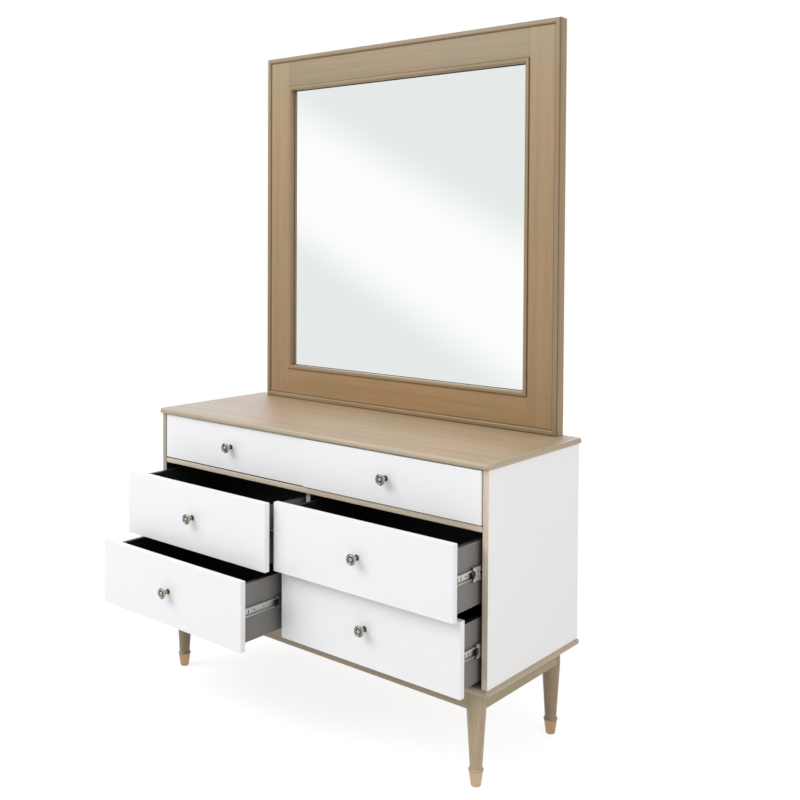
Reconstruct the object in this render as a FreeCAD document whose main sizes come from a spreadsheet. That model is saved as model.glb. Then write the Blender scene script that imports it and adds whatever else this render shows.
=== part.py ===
# Dressing table with a framed mirror and six drawers, modelled as it is put together.
# X runs to the right seen from the front, Y to the back and Z up, in millimetres.
# The origin is on the floor, under the middle of the carcass.
import FreeCAD, Part
import math
import os
import re

import Sketcher

os.makedirs("parts", exist_ok=True)
doc = FreeCAD.newDocument("DressingTable")

# Driving dimensions, each written once

SIZES = {
    # carcass of flat boards
    "carcass_width": 1200,
    "carcass_depth": 420,
    "side_panel_thickness": 16,
    "edging_depth": 1,
    "divider_thickness": 16,
    "divider_clearance": 2,
    "divider_notch_clearance": 0.2,
    "rail_thickness": 16,
    "rail_depth": 60,
    "back_thickness": 3,
    "back_rebate": 6,
    "back_clearance": 0.2,
    "back_rail_height": 80,
    "back_rail_thickness": 16,
    # tabletop and bottom board
    "top_thickness": 16,
    "top_side_overhang": 7,
    "top_front_overhang": 10,
    "top_corner_radius": 10,
    "base_thickness": 16,
    "base_side_overhang": 5,
    "base_front_overhang": 6,
    "bullnose_share": 0.42,
    # base frame
    "apron_height": 50,
    "apron_thickness": 18,
    "apron_setback": 1.5,
    "apron_leg_clearance": 0.2,
    "leg_height": 240,
    "leg_side_inset": 56,
    "leg_front_inset": 38,
    "leg_top_radius": 24,
    "ankle_radius": 15.3,
    "collar_flare": 3.5,
    "collar_band": 3,
    "collar_overhang": 0.5,
    "tip_height": 38,
    "tip_top_radius": 18,
    "tip_foot_radius": 12.5,
    "tip_bevel": 3,
    "tip_wall": 2.5,
    "tip_floor": 10,
    # drawer fronts
    "lower_front_height": 181,
    "top_front_height": 129,
    "front_thickness": 16,
    "front_gap": 2,
    "row_gap": 3,
    "centre_gap": 2.4,
    "front_edge_bevel": 1.2,
    # drawer boxes
    "box_rise": 12,
    "box_drop": 17,
    "box_tail": 7,
    "box_wall": 12,
    "box_bottom_thickness": 4,
    "box_bottom_rise": 10,
    "groove_depth": 6,
    "groove_clearance": 0.2,
    # knobs, turned with many sides
    "knob_sides": 18,
    "knob_rise": 3,
    "knob_reach": 26,
    "knob_head_radius": 15,
    "knob_head_thickness": 8,
    "knob_rim_bevel": 1.6,
    "knob_rim_width": 3,
    "knob_dish_depth": 1.4,
    "knob_button_radius": 4.5,
    "knob_foot_radius": 7.5,
    "knob_foot_thickness": 2.5,
    "knob_neck_radius": 6,
    "knob_flare_radius": 10,
    "knob_flare_length": 5,
    # telescopic slides
    "slide_space": 12.7,
    "slide_setback": 3,
    "slide_rear_space": 51,
    "slide_above_box_middle": 3,
    "slide_gauge": 1.2,
    "slide_bend": 2,
    "slide_lip": 3.2,
    "race_gap": 4,
    "race_clearance": 0.3,
    "outer_member_height": 45,
    "outer_lip_clearance": 3.7,
    "middle_lip_clearance": 0.9,
    "inner_lip_clearance": 1.6,
    "middle_member_offset": 2.8,
    "middle_member_margin": 5,
    "retainer_length": 90,
    "retainer_inset": 8,
    "retainer_web": 0.7,
    "slot_length": 16,
    "slot_height": 5,
    "slot_inset": 14,
    "slot_pitch": 32,
    # mirror
    "mirror_side_inset": 49,
    "mirror_height": 1103,
    "mirror_thickness": 35,
    "frame_member_width": 96,
    "frame_face_setback": 5,
    "outer_bead_width": 15,
    "outer_bead_depth": 14,
    "outer_bead_round": 5,
    "inner_bead_width": 13,
    "inner_bead_depth": 16,
    "inner_bead_setback": 1,
    "inner_bead_round": 6,
    "inner_bead_shoulder": 3,
    "glass_thickness": 4,
    "glass_clearance": 1,
    "backing_thickness": 3,
    # battens behind the mirror and the carcass
    "support_width": 45,
    "support_thickness": 18,
    "support_length": 820,
    "support_drop": 320,
    # how far each drawer stands open
    "top_left_opening": 0,
    "top_right_opening": 5,
    "middle_left_opening": 140,
    "middle_right_opening": 112,
    "bottom_left_opening": 223,
    "bottom_right_opening": 82,
    # reach of a cutting shape past the solid that it cuts
    "overrun": 5,
}

# Places and sizes that follow from the driving dimensions

PLACES = {
    "front_plane": "-carcass_depth / 2",
    "back_plane": "carcass_depth / 2",
    "base_top": "leg_height + base_thickness",
    "bottom_row": "base_top + front_gap",
    "middle_row": "bottom_row + lower_front_height + row_gap",
    "rail_bottom": "middle_row + lower_front_height + front_gap",
    "rail_top": "rail_bottom + rail_thickness",
    "top_row": "rail_top + front_gap",
    "carcass_top": "top_row + top_front_height + front_gap",
    "side_panel_height": "carcass_top - base_top",
    "table_top": "carcass_top + top_thickness",
    "clear_half": "carcass_width / 2 - side_panel_thickness",
    "inside_back": "back_plane - back_thickness - back_clearance",
    "divider_front": "front_plane + front_thickness + divider_clearance",
    "leg_x": "carcass_width / 2 - leg_side_inset",
    "leg_y": "carcass_depth / 2 - leg_front_inset",
    "stub_radius": "tip_foot_radius - tip_wall",
    "collar_radius": "tip_top_radius + collar_overhang",
    "collar_height": "tip_height + collar_band",
    "ankle_height": "collar_height + collar_flare",
    "front_width": "clear_half - front_gap - centre_gap / 2",
    "front_centre": "centre_gap / 2 + front_width / 2",
    "bay_width": "clear_half - divider_thickness / 2",
    "bay_centre": "divider_thickness / 2 + bay_width / 2",
    "box_width": "bay_width - 2 * slide_space",
    "groove_height": "box_bottom_thickness + 2 * groove_clearance",
    "slide_front": "front_thickness + slide_setback",
    "slide_length": "carcass_depth - slide_front - slide_rear_space",
    "box_length": "slide_setback + slide_length + box_tail",
    "middle_member_length": "slide_length - 2 * middle_member_margin",
    "middle_member_height": "outer_member_height - 2 * (slide_gauge + race_gap)",
    "inner_member_height": "middle_member_height - 2 * (slide_gauge + race_gap)",
    "outer_member_depth": "slide_space - outer_lip_clearance",
    "middle_member_depth": "slide_space - slide_gauge - middle_member_offset - middle_lip_clearance",
    "inner_member_depth": "slide_space - slide_gauge - middle_member_offset - inner_lip_clearance",
    "outer_balls_place": "(slide_gauge + middle_member_offset - retainer_web) / 2",
    "mirror_width": "carcass_width - 2 * mirror_side_inset",
    "mirror_front": "back_plane - mirror_thickness",
    "sight_width": "mirror_width - 2 * frame_member_width",
    "sight_height": "mirror_height - 2 * frame_member_width",
}

# Rows with the height of their fronts, sides with the sign of X, and a test's tolerance

ROWS = {"bottom": "lower_front_height", "middle": "lower_front_height", "top": "top_front_height"}
SIDES = {"left": -1, "right": 1}
TINY = 1e-6


def fill(sheet, values):
    """Write one named cell for each value, in two columns."""
    for row, (alias, value) in enumerate(values.items(), start=1):
        sheet.set(f"A{row}", alias)
        sheet.set(f"B{row}", str(value))
        sheet.setAlias(f"B{row}", alias)


def full(expression):
    """Put the sheet's name before each alias of an expression."""
    def prefixed(match):
        word = match.group()
        if word in SIZES:
            return "Sizes." + word
        return "Places." + word if word in PLACES else word
    return re.sub(r"[a-z][a-z_0-9]*", prefixed, str(expression))


sizes = doc.addObject("Spreadsheet::Sheet", "Sizes")
fill(sizes, SIZES)
places = doc.addObject("Spreadsheet::Sheet", "Places")
fill(places, {alias: "=" + full(expression) for alias, expression in PLACES.items()})
doc.recompute()


def number(expression):
    """The value that an expression has now."""
    return float(sizes.evalExpression(full(expression)))


# Ways of making a solid

def place(item, x=0, y=0, z=0):
    """Bind where an object stands."""
    for axis, expression in (("x", x), ("y", y), ("z", z)):
        item.setExpression("Placement.Base." + axis, full(expression))
    return item


def block(name, size, at):
    """A rectangular board from its lowest corner."""
    item = doc.addObject("Part::Box", name)
    for side, expression in zip(("Length", "Width", "Height"), size):
        item.setExpression(side, full(expression))
    return place(item, *at)


def upright_rod(name, radius, height, at):
    """A round rod that stands on its lower end."""
    item = doc.addObject("Part::Cylinder", name)
    item.setExpression("Radius", full(radius))
    item.setExpression("Height", full(height))
    return place(item, *at)


def group(name, members):
    """Several solids kept together."""
    item = doc.addObject("Part::Compound", name)
    item.Links = members
    return item


def cut(name, base, tools):
    """A solid less one or more cutting shapes."""
    item = doc.addObject("Part::Cut", name)
    item.Base = base
    item.Tool = tools[0] if len(tools) == 1 else group(name + "_tools", tools)
    return item


def sketch(body, plane, offset=0):
    """An empty sketch on one of the body's own origin planes."""
    item = body.newObject("Sketcher::SketchObject", body.Name + "_sketch")
    support = [feature for feature in body.Origin.OriginFeatures if feature.Role == plane]
    item.AttachmentSupport = [(support[0], "")]
    item.MapMode = "FlatFace"
    item.setExpression("AttachmentOffset.Base.z", full(offset))
    return item


def arc_between(start, end, radius):
    """An arc from start to end; a positive radius keeps its centre to the left of the way."""
    chord = end - start
    middle = (start + end) / 2
    rise = math.sqrt(max(radius ** 2 - chord.Length ** 2 / 4, 0))
    left = FreeCAD.Vector(-chord.y, chord.x, 0).normalize()
    centre = middle + left * math.copysign(rise, radius)
    circle = Part.Circle(centre, FreeCAD.Vector(0, 0, 1), abs(radius))
    first, last = (start, end) if radius > 0 else (end, start)
    angles = [math.atan2(point.y - centre.y, point.x - centre.x) for point in (first, last)]
    return Part.ArcOfCircle(circle, angles[0], angles[1])


def outline(item, points):
    """Add a closed outline whose corners are bound to expressions.

    A point is a pair of expressions, and a third one is the radius of the arc that leads to it.
    """
    corners = [FreeCAD.Vector(number(point[0]), number(point[1]), 0) for point in points]
    ends = []
    for index, point in enumerate(points):
        start, end = corners[index - 1], corners[index]
        if len(point) == 2:
            line = item.addGeometry(Part.LineSegment(start, end))
            ends.append((line, 1, 2))
            continue
        radius = number(point[2])
        arc = item.addGeometry(arc_between(start, end, radius))
        bind_datum(item, Sketcher.Constraint("Radius", arc, abs(radius)), f"abs({point[2]})")
        ends.append((arc, 1, 2) if radius > 0 else (arc, 2, 1))
    for index, point in enumerate(points):
        piece, start_vertex, _ = ends[index]
        before, _, end_vertex = ends[index - 1]
        item.addConstraint(Sketcher.Constraint("Coincident", before, end_vertex, piece, start_vertex))
        piece, _, end_vertex = ends[index]
        across = Sketcher.Constraint("DistanceX", -1, 1, piece, end_vertex, corners[index].x)
        along = Sketcher.Constraint("DistanceY", -1, 1, piece, end_vertex, corners[index].y)
        bind_datum(item, across, point[0])
        bind_datum(item, along, point[1])


def bind_datum(item, constraint, expression):
    """Add a constraint whose value follows an expression."""
    index = item.addConstraint(constraint)
    item.setExpression(f"Constraints[{index}]", full(expression))


def rectangle(x_low, y_low, x_high, y_high):
    """The corners of a rectangle."""
    return [(x_low, y_low), (x_high, y_low), (x_high, y_high), (x_low, y_high)]


def new_body(name):
    return doc.addObject("PartDesign::Body", name)


def extrude(body, plane, points, length, offset=0, symmetric=False):
    """Pad an outline: up from XY, to the back from XZ, to the right from YZ."""
    profile = sketch(body, plane, offset)
    outline(profile, points)
    pad = body.newObject("PartDesign::Pad", body.Name + "_pad")
    pad.Profile = profile
    pad.setExpression("Length", full(length))
    pad.Reversed = plane == "XZ_Plane"
    pad.Midplane = symmetric
    profile.Visibility = False
    return pad


def pocket(body, plane, outlines, depth=None, offset=0, reverse=False):
    """Cut outlines into a body, right through it where no depth is given."""
    profile = sketch(body, plane, offset)
    for points in outlines:
        outline(profile, points)
    hollow = body.newObject("PartDesign::Pocket", body.Name + "_pocket")
    hollow.Profile = profile
    if depth is None:
        hollow.Type = "ThroughAll"
        hollow.Midplane = True
    else:
        hollow.setExpression("Length", full(depth))
        hollow.Reversed = reverse
    return hollow


def turn(body, plane, points):
    """Revolve an outline about the upright axis of its sketch."""
    profile = sketch(body, plane)
    outline(profile, points)
    solid = body.newObject("PartDesign::Revolution", body.Name + "_turning")
    solid.Profile = profile
    solid.ReferenceAxis = (profile, ["V_Axis"])
    solid.Angle = 360
    return solid


def faceted(name, rings, sides):
    """A small turned form as flat facets between rings, for a light mesh where it repeats."""
    turns = [2 * math.pi * step / sides for step in range(sides)]
    loops = [[FreeCAD.Vector(number(radius) * math.cos(turn), number(radius) * math.sin(turn),
                             number(reach)) for turn in turns] for radius, reach in rings]
    faces = [Part.Face(Part.makePolygon(loops[0][::-1] + loops[0][-1:])),
             Part.Face(Part.makePolygon(loops[-1] + loops[-1][:1]))]
    for low, high in zip(loops, loops[1:]):
        for step in range(sides):
            after = (step + 1) % sides
            corners = [low[step], low[after], high[after], high[step], low[step]]
            faces.append(Part.Face(Part.makePolygon(corners)))
    item = doc.addObject("Part::Feature", name)
    item.Shape = Part.Solid(Part.Shell(faces))
    return item


def round_edges(body, feature, radius, wanted):
    """Fillet the edges of a feature whose middles pass a test."""
    doc.recompute()
    edges = feature.Shape.Edges
    names = [f"Edge{i + 1}" for i, edge in enumerate(edges) if wanted(edge.CenterOfMass)]
    fillet = body.newObject("PartDesign::Fillet", body.Name + "_rounding")
    fillet.Base = (feature, names)
    fillet.setExpression("Radius", full(radius))
    return fillet


NODES = {}


def node(label, item):
    """Name a finished sub-part, which is then written to a file of that name."""
    item.Label = label
    NODES[label] = item
    return item


# Carcass

def rounded_board(body, half, front, radius, thickness):
    """A board up to the back plane with rounded front corners."""
    return extrude(body, "XY_Plane", [
        (f"-{half}", "back_plane"),
        (f"-{half}", f"{front} + {radius}"),
        (f"-{half} + {radius}", front, radius),
        (f"{half} - {radius}", front),
        (half, f"{front} + {radius}", radius),
        (half, "back_plane"),
    ], thickness)


def bullnose(body, pad, thickness):
    """Round the front and side edges of a board, above and below."""
    middle = number(thickness) / 2
    rear = number("back_plane")
    round_edges(body, pad, f"{thickness} * bullnose_share",
                lambda point: point.y < rear - TINY and abs(point.z - middle) > TINY)


def tabletop():
    """The board over the whole carcass, which also carries the mirror."""
    body = new_body("tabletop")
    pad = rounded_board(body, "(carcass_width / 2 + top_side_overhang)",
                        "(front_plane - top_front_overhang)", "top_corner_radius", "top_thickness")
    bullnose(body, pad, "top_thickness")
    node("tabletop", place(body, z="carcass_top"))


def bottom_board():
    """The board under the side panels, which shows as a moulding round the carcass."""
    body = new_body("bottom_board")
    half = "(carcass_width / 2 + base_side_overhang)"
    pad = extrude(body, "XY_Plane", rectangle(f"-{half}", "front_plane - base_front_overhang",
                                              half, "back_plane"), "base_thickness")
    bullnose(body, pad, "base_thickness")
    node("bottom_board", place(body, z="leg_height"))


def side_panel(label, hand):
    """A side board with a rebate for the back panel, behind its edging strip."""
    board = block(label + "_board",
                  ("side_panel_thickness", "carcass_depth - edging_depth", "side_panel_height"),
                  (f"{hand} * (carcass_width - side_panel_thickness) / 2 - side_panel_thickness / 2",
                   "front_plane + edging_depth", "base_top"))
    rebate = block(label + "_rebate",
                   ("2 * back_rebate", "back_thickness + back_clearance + overrun",
                    "side_panel_height + 2 * overrun"),
                   (f"{hand} * clear_half - back_rebate",
                    "inside_back", "base_top - overrun"))
    return node(label, cut(label + "_cut", board, [rebate]))


def carcass():
    """Boards, edging strips, rails, divider and back."""
    tabletop()
    bottom_board()
    strips = []
    for side, hand in SIDES.items():
        side_panel(side + "_side_panel", hand)
        strips.append(block(side + "_edging",
                            ("side_panel_thickness", "edging_depth", "side_panel_height"),
                            (f"{hand} * (clear_half + side_panel_thickness / 2)"
                             " - side_panel_thickness / 2", "front_plane", "base_top")))
    node("front_edgings", group("edgings", strips))
    node("drawer_rail", block("rail", ("2 * clear_half", "rail_depth", "rail_thickness"),
                              ("-clear_half", "front_plane", "rail_bottom")))
    divider = block("divider_board",
                    ("divider_thickness", "inside_back - divider_front", "side_panel_height"),
                    ("-divider_thickness / 2", "divider_front", "base_top"))
    notch = block("divider_notch",
                  ("divider_thickness + 2 * overrun",
                   "front_plane + rail_depth + divider_notch_clearance - divider_front + overrun",
                   "rail_thickness + 2 * divider_notch_clearance"),
                  ("-divider_thickness / 2 - overrun", "divider_front - overrun",
                   "rail_bottom - divider_notch_clearance"))
    rail_seat = block("divider_rail_seat",
                      ("divider_thickness + 2 * overrun", "back_rail_thickness + overrun",
                       "back_rail_height + overrun"),
                      ("-divider_thickness / 2 - overrun", "inside_back - back_rail_thickness",
                       "carcass_top - back_rail_height"))
    node("centre_divider", cut("divider_cut", divider, [notch, rail_seat]))
    node("back_rail", block("back_rail_board",
                            ("2 * clear_half", "back_rail_thickness", "back_rail_height"),
                            ("-clear_half", "inside_back - back_rail_thickness",
                             "carcass_top - back_rail_height")))
    node("back_panel", block("back_board",
                             ("2 * (clear_half + back_rebate - back_clearance)",
                              "back_thickness", "side_panel_height"),
                             ("-(clear_half + back_rebate - back_clearance)",
                              "back_plane - back_thickness", "base_top")))


# Base frame with turned legs

def leg(name, x, y):
    """A round taper over a flared collar, with a stub that the metal tip is pressed on."""
    body = new_body(name)
    turn(body, "XZ_Plane", [
        ("0", "tip_floor"),
        ("stub_radius", "tip_floor"),
        ("stub_radius", "tip_height"),
        ("collar_radius", "tip_height"),
        ("collar_radius", "collar_height"),
        ("ankle_radius", "ankle_height"),
        ("leg_top_radius", "leg_height - apron_height"),
        ("leg_top_radius", "leg_height"),
        ("0", "leg_height"),
    ])
    return place(body, x, y)


def tip(name, x, y):
    """A tapered metal cap with an eased foot, over the leg's stub."""
    body = new_body(name)
    turn(body, "XZ_Plane", [
        ("0", "0"),
        ("tip_foot_radius - tip_bevel", "0"),
        ("tip_foot_radius", "tip_bevel"),
        ("tip_top_radius", "tip_height"),
        ("stub_radius", "tip_height"),
        ("stub_radius", "tip_floor"),
        ("0", "tip_floor"),
    ])
    return place(body, x, y)


def base_frame():
    """Four legs with tips, and aprons scribed to the legs."""
    tips = []
    for end, back in (("front", "-"), ("back", "")):
        pair = []
        for side, hand in SIDES.items():
            at = (f"{hand} * leg_x", f"{back}leg_y")
            pair.append(leg(f"{end}_{side}_leg", *at))
            tips.append(tip(f"{end}_{side}_tip", *at))
        node(end + "_legs", group(end + "_leg_pair", pair))
    node("foot_tips", group("tips", tips))
    scribes = [upright_rod(f"scribe_{end}_{side}", "leg_top_radius + apron_leg_clearance",
                           "apron_height + 2 * overrun",
                           (f"{hand} * leg_x", f"{back}leg_y", "leg_height - apron_height - overrun"))
               for end, back in (("front", "-"), ("back", "")) for side, hand in SIDES.items()]
    long_face = "(leg_y + leg_top_radius - apron_setback)"
    side_face = "(leg_x + leg_top_radius - apron_setback)"
    low = "leg_height - apron_height"
    long_boards = [
        block("front_apron", ("2 * leg_x", "apron_thickness", "apron_height"),
              ("-leg_x", f"-{long_face}", low)),
        block("back_apron", ("2 * leg_x", "apron_thickness", "apron_height"),
              ("-leg_x", f"{long_face} - apron_thickness", low)),
    ]
    side_boards = [
        block("left_apron", ("apron_thickness", "2 * leg_y", "apron_height"),
              (f"-{side_face}", "-leg_y", low)),
        block("right_apron", ("apron_thickness", "2 * leg_y", "apron_height"),
              (f"{side_face} - apron_thickness", "-leg_y", low)),
    ]
    node("long_aprons", cut("long_aprons_cut", group("long_apron_boards", long_boards), scribes))
    node("side_aprons", cut("side_aprons_cut", group("side_apron_boards", side_boards), scribes))


# Telescopic slides of rolled steel

def mirrored(upper):
    """Close an upper half section with its reflection below."""
    return upper + [(across, f"-({up})") for across, up in reversed(upper)]


def channel(height, depth):
    """The section of a rolled channel with its web on the upright axis and inturned lips."""
    half = f"({height} / 2)"
    inner_bend = "(slide_bend - slide_gauge / 2)"
    return mirrored([
        ("0", f"{half} - slide_bend"),
        ("slide_bend", half),
        (depth, half),
        (depth, f"{half} - slide_lip"),
        (f"{depth} - slide_gauge", f"{half} - slide_lip"),
        (f"{depth} - slide_gauge", f"{half} - slide_gauge"),
        (f"slide_gauge + {inner_bend}", f"{half} - slide_gauge"),
        ("slide_gauge", f"{half} - slide_gauge - {inner_bend}"),
    ])


def retainer(low, high, reach):
    """The section of a ball retainer: a thin web with a ball row from low to high on both edges."""
    return mirrored([
        ("0", f"{high} - slide_bend"),
        ("slide_bend", high),
        (reach, high),
        (reach, low),
        ("retainer_web", low),
    ])


def slide_piece(name, section, origin, hand, length, setback, at):
    """Extrude a slide section to the back; origin is where its upright axis stands in the gap."""
    body = new_body(name)
    points = [(f"{hand} * ({origin.format(across)})", up) for across, up in section]
    extrude(body, "XZ_Plane", points, length, offset=f"-({setback})")
    place(body, *at)
    return body


def punched(body, count):
    """Punch slots through the web of a slide member, starting near its front end."""
    slots = [rectangle(f"slide_front + slot_inset + {index} * slot_pitch", "-slot_height / 2",
                       f"slide_front + slot_inset + {index} * slot_pitch + slot_length",
                       "slot_height / 2") for index in range(count)]
    pocket(body, "YZ_Plane", slots)
    return body


def outer_member(name, hand, at):
    """The channel screwed to the carcass."""
    section = channel("outer_member_height", "outer_member_depth")
    return slide_piece(name, section, "{}", hand, "slide_length", "slide_front", at)


def middle_member(name, hand, at):
    """The running channel with its two ball retainers."""
    section = channel("middle_member_height", "middle_member_depth")
    channel_body = slide_piece(name, section, "middle_member_offset + {}", hand,
                               "middle_member_length",
                               "slide_front + middle_member_margin", at)
    punched(channel_body, 1)
    outer_balls = retainer("middle_member_height / 2",
                           "outer_member_height / 2 - slide_gauge - race_clearance",
                           "outer_member_depth - slide_gauge - race_clearance - outer_balls_place")
    rear = slide_piece(name + "_outer_balls", outer_balls, "outer_balls_place + {}", hand,
                       "retainer_length",
                       "slide_front + slide_length - retainer_length - retainer_inset", at)
    inner_balls = retainer("inner_member_height / 2 + race_clearance",
                           "middle_member_height / 2 - slide_gauge",
                           "middle_member_depth - 2 * slide_gauge - race_clearance")
    front = slide_piece(name + "_inner_balls", inner_balls,
                        "middle_member_offset + slide_gauge + {}", hand, "retainer_length",
                        "slide_front + retainer_inset", at)
    return [channel_body, rear, front]


def inner_member(name, hand, at):
    """The channel screwed to the drawer, which opens towards the carcass."""
    section = channel("inner_member_height", "inner_member_depth")
    body = slide_piece(name, section, "slide_space - ({})", hand, "slide_length", "slide_front", at)
    return punched(body, 2)


# Drawers

def drawer_front(name, height, x, y, z):
    """A board with eased front edges."""
    body = new_body(name + "_board")
    pad = extrude(body, "XZ_Plane", rectangle("-front_width / 2", "0", "front_width / 2", height),
                  "front_thickness")
    doc.recompute()
    edges = [f"Edge{index}" for index, edge in enumerate(pad.Shape.Edges, start=1)
             if abs(edge.CenterOfMass.y) < TINY]
    bevel = body.newObject("PartDesign::Chamfer", name + "_easing")
    bevel.Base = (pad, edges)
    bevel.setExpression("Size", full("front_edge_bevel"))
    return place(body, x, y, z)


def knob(name, x, y, z):
    """A turned knob: foot, waisted neck, rimmed head with a dish and a button."""
    head_back = "knob_reach - knob_head_thickness"
    dish = "knob_reach - knob_dish_depth"
    rings = [
        ("knob_foot_radius", "0"),
        ("knob_foot_radius", "knob_foot_thickness"),
        ("knob_neck_radius", f"{head_back} - knob_flare_length"),
        ("knob_flare_radius", head_back),
        ("knob_head_radius", f"{head_back} + knob_rim_bevel"),
        ("knob_head_radius", "knob_reach - knob_rim_bevel"),
        ("knob_head_radius - knob_rim_bevel", "knob_reach"),
        ("knob_head_radius - knob_rim_width", dish),
        ("knob_button_radius", dish),
        ("knob_button_radius", "knob_reach"),
    ]
    turning = faceted(name + "_turning", rings, int(number("knob_sides")))
    turning.Placement.Rotation = FreeCAD.Rotation(FreeCAD.Vector(1, 0, 0), 90)
    return place(turning, x, y, z)


def drawer_walls(name, height, centre, front, low):
    """Two sides and a back, grooved for the bottom."""
    groove_high = "(box_bottom_rise + groove_height)"
    walls = []
    for side, hand in SIDES.items():
        wall = new_body(f"{name}_{side}_wall")
        section = [(f"{hand} * (box_width / 2 - {depth})", up)
                   for depth, up in grooved("box_wall", height, groove_high)]
        extrude(wall, "XZ_Plane", section, "box_length")
        walls.append(place(wall, centre, front, low))
    rear = new_body(name + "_rear_wall")
    section = [(f"box_length - {depth}", up) for depth, up in grooved("box_wall", height, groove_high)]
    extrude(rear, "YZ_Plane", section, "box_width - 2 * box_wall", symmetric=True)
    walls.append(place(rear, centre, front, low))
    node(name + "_drawer_walls", group(name + "_walls", walls))


def grooved(wall, height, groove_high):
    """A wall's section, as depths from its outer face, with a groove in its inner face."""
    floor = f"({wall} - groove_depth)"
    return [("0", "0"), ("0", height), (wall, height), (wall, groove_high), (floor, groove_high),
            (floor, "box_bottom_rise"), (wall, "box_bottom_rise"), (wall, "0")]


def drawer_slides(name, opening, centre, face, height):
    """The slides on both sides of a drawer; the middle members have come half as far."""
    fixed, running, moving = [], [], []
    for side, hand in SIDES.items():
        x = f"{centre} + {hand} * bay_width / 2"
        piece = f"{name}_{side}"
        fixed.append(outer_member(piece + "_outer", -hand, (x, "front_plane", height)))
        running += middle_member(piece + "_middle", -hand,
                                 (x, f"front_plane - {opening} / 2", height))
        moving.append(inner_member(piece + "_inner", -hand, (x, face, height)))
    node(name + "_slide_middles", group(name + "_middles", running))
    node(name + "_slide_inners", group(name + "_inners", moving))
    return fixed


def drawer(row, side):
    """One drawer with the moving members of its slides, standing open as in daily use."""
    name = f"{row}_{side}"
    hand = SIDES[side]
    height = ROWS[row]
    opening = f"{name}_opening"
    face = f"front_plane - {opening}"
    inside = f"({face} + front_thickness)"
    box_height = f"({height} - box_rise - box_drop)"
    box_low = f"({row}_row + box_rise)"
    front_x = f"{hand} * front_centre"
    centre = f"{hand} * bay_centre"
    margin = "(box_wall - groove_depth)"

    groove = block(name + "_groove",
                   (f"box_width - 2 * {margin}", "groove_depth + overrun", "groove_height"),
                   (f"{centre} - box_width / 2 + {margin}", f"{inside} - groove_depth",
                    f"{box_low} + box_bottom_rise"))
    board = drawer_front(name, height, front_x, face, f"{row}_row")
    node(name + "_drawer_front", cut(name + "_front", board, [groove]))
    drawer_walls(name, box_height, centre, inside, box_low)
    node(name + "_drawer_bottom", block(
        name + "_bottom_board",
        (f"box_width - 2 * ({margin} + groove_clearance)",
         f"box_length - {margin} + groove_depth - 2 * groove_clearance", "box_bottom_thickness"),
        (f"{centre} - box_width / 2 + {margin} + groove_clearance",
         f"{inside} - groove_depth + groove_clearance",
         f"{box_low} + box_bottom_rise + groove_clearance")))
    node(name + "_knob", knob(name + "_knob", front_x, face, f"{row}_row + {height} / 2 + knob_rise"))
    return drawer_slides(name, opening, centre, face,
                         f"{box_low} + {box_height} / 2 + slide_above_box_middle")


# Mirror

def mitred_stick(name, section, length, width):
    """A moulding along X with its outer edge down, cut at 45 degrees at both ends."""
    body = new_body(name)
    extrude(body, "YZ_Plane", section, length, symmetric=True)
    corners = [[(f"{hand} * ({length} / 2 + overrun)", "-overrun"),
                (f"{hand} * ({length} / 2 - {width} - overrun)", f"{width} + overrun"),
                (f"{hand} * ({length} / 2 + overrun)", f"{width} + overrun")]
               for hand in (-1, 1)]
    pocket(body, "XZ_Plane", corners)
    return body


def moulding_ring(label, section, width, height, member, front, middle):
    """Four mitred sticks round a rectangle, with their outer edges on it."""
    sticks = []
    for edge, angle, length in (("bottom", 0, width), ("right", -90, height),
                                ("top", 180, width), ("left", 90, height)):
        stick = mitred_stick(f"{label}_{edge}", section, length, member)
        stick.Placement.Rotation = FreeCAD.Rotation(FreeCAD.Vector(0, 1, 0), angle)
        x = {"right": f"{width} / 2", "left": f"-{width} / 2"}.get(edge, "0")
        z = {"bottom": f"-{height} / 2", "top": f"{height} / 2"}.get(edge, "0")
        sticks.append(place(stick, x, front, f"{middle} + {z}"))
    return node(label, group(label + "_sticks", sticks))


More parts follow.
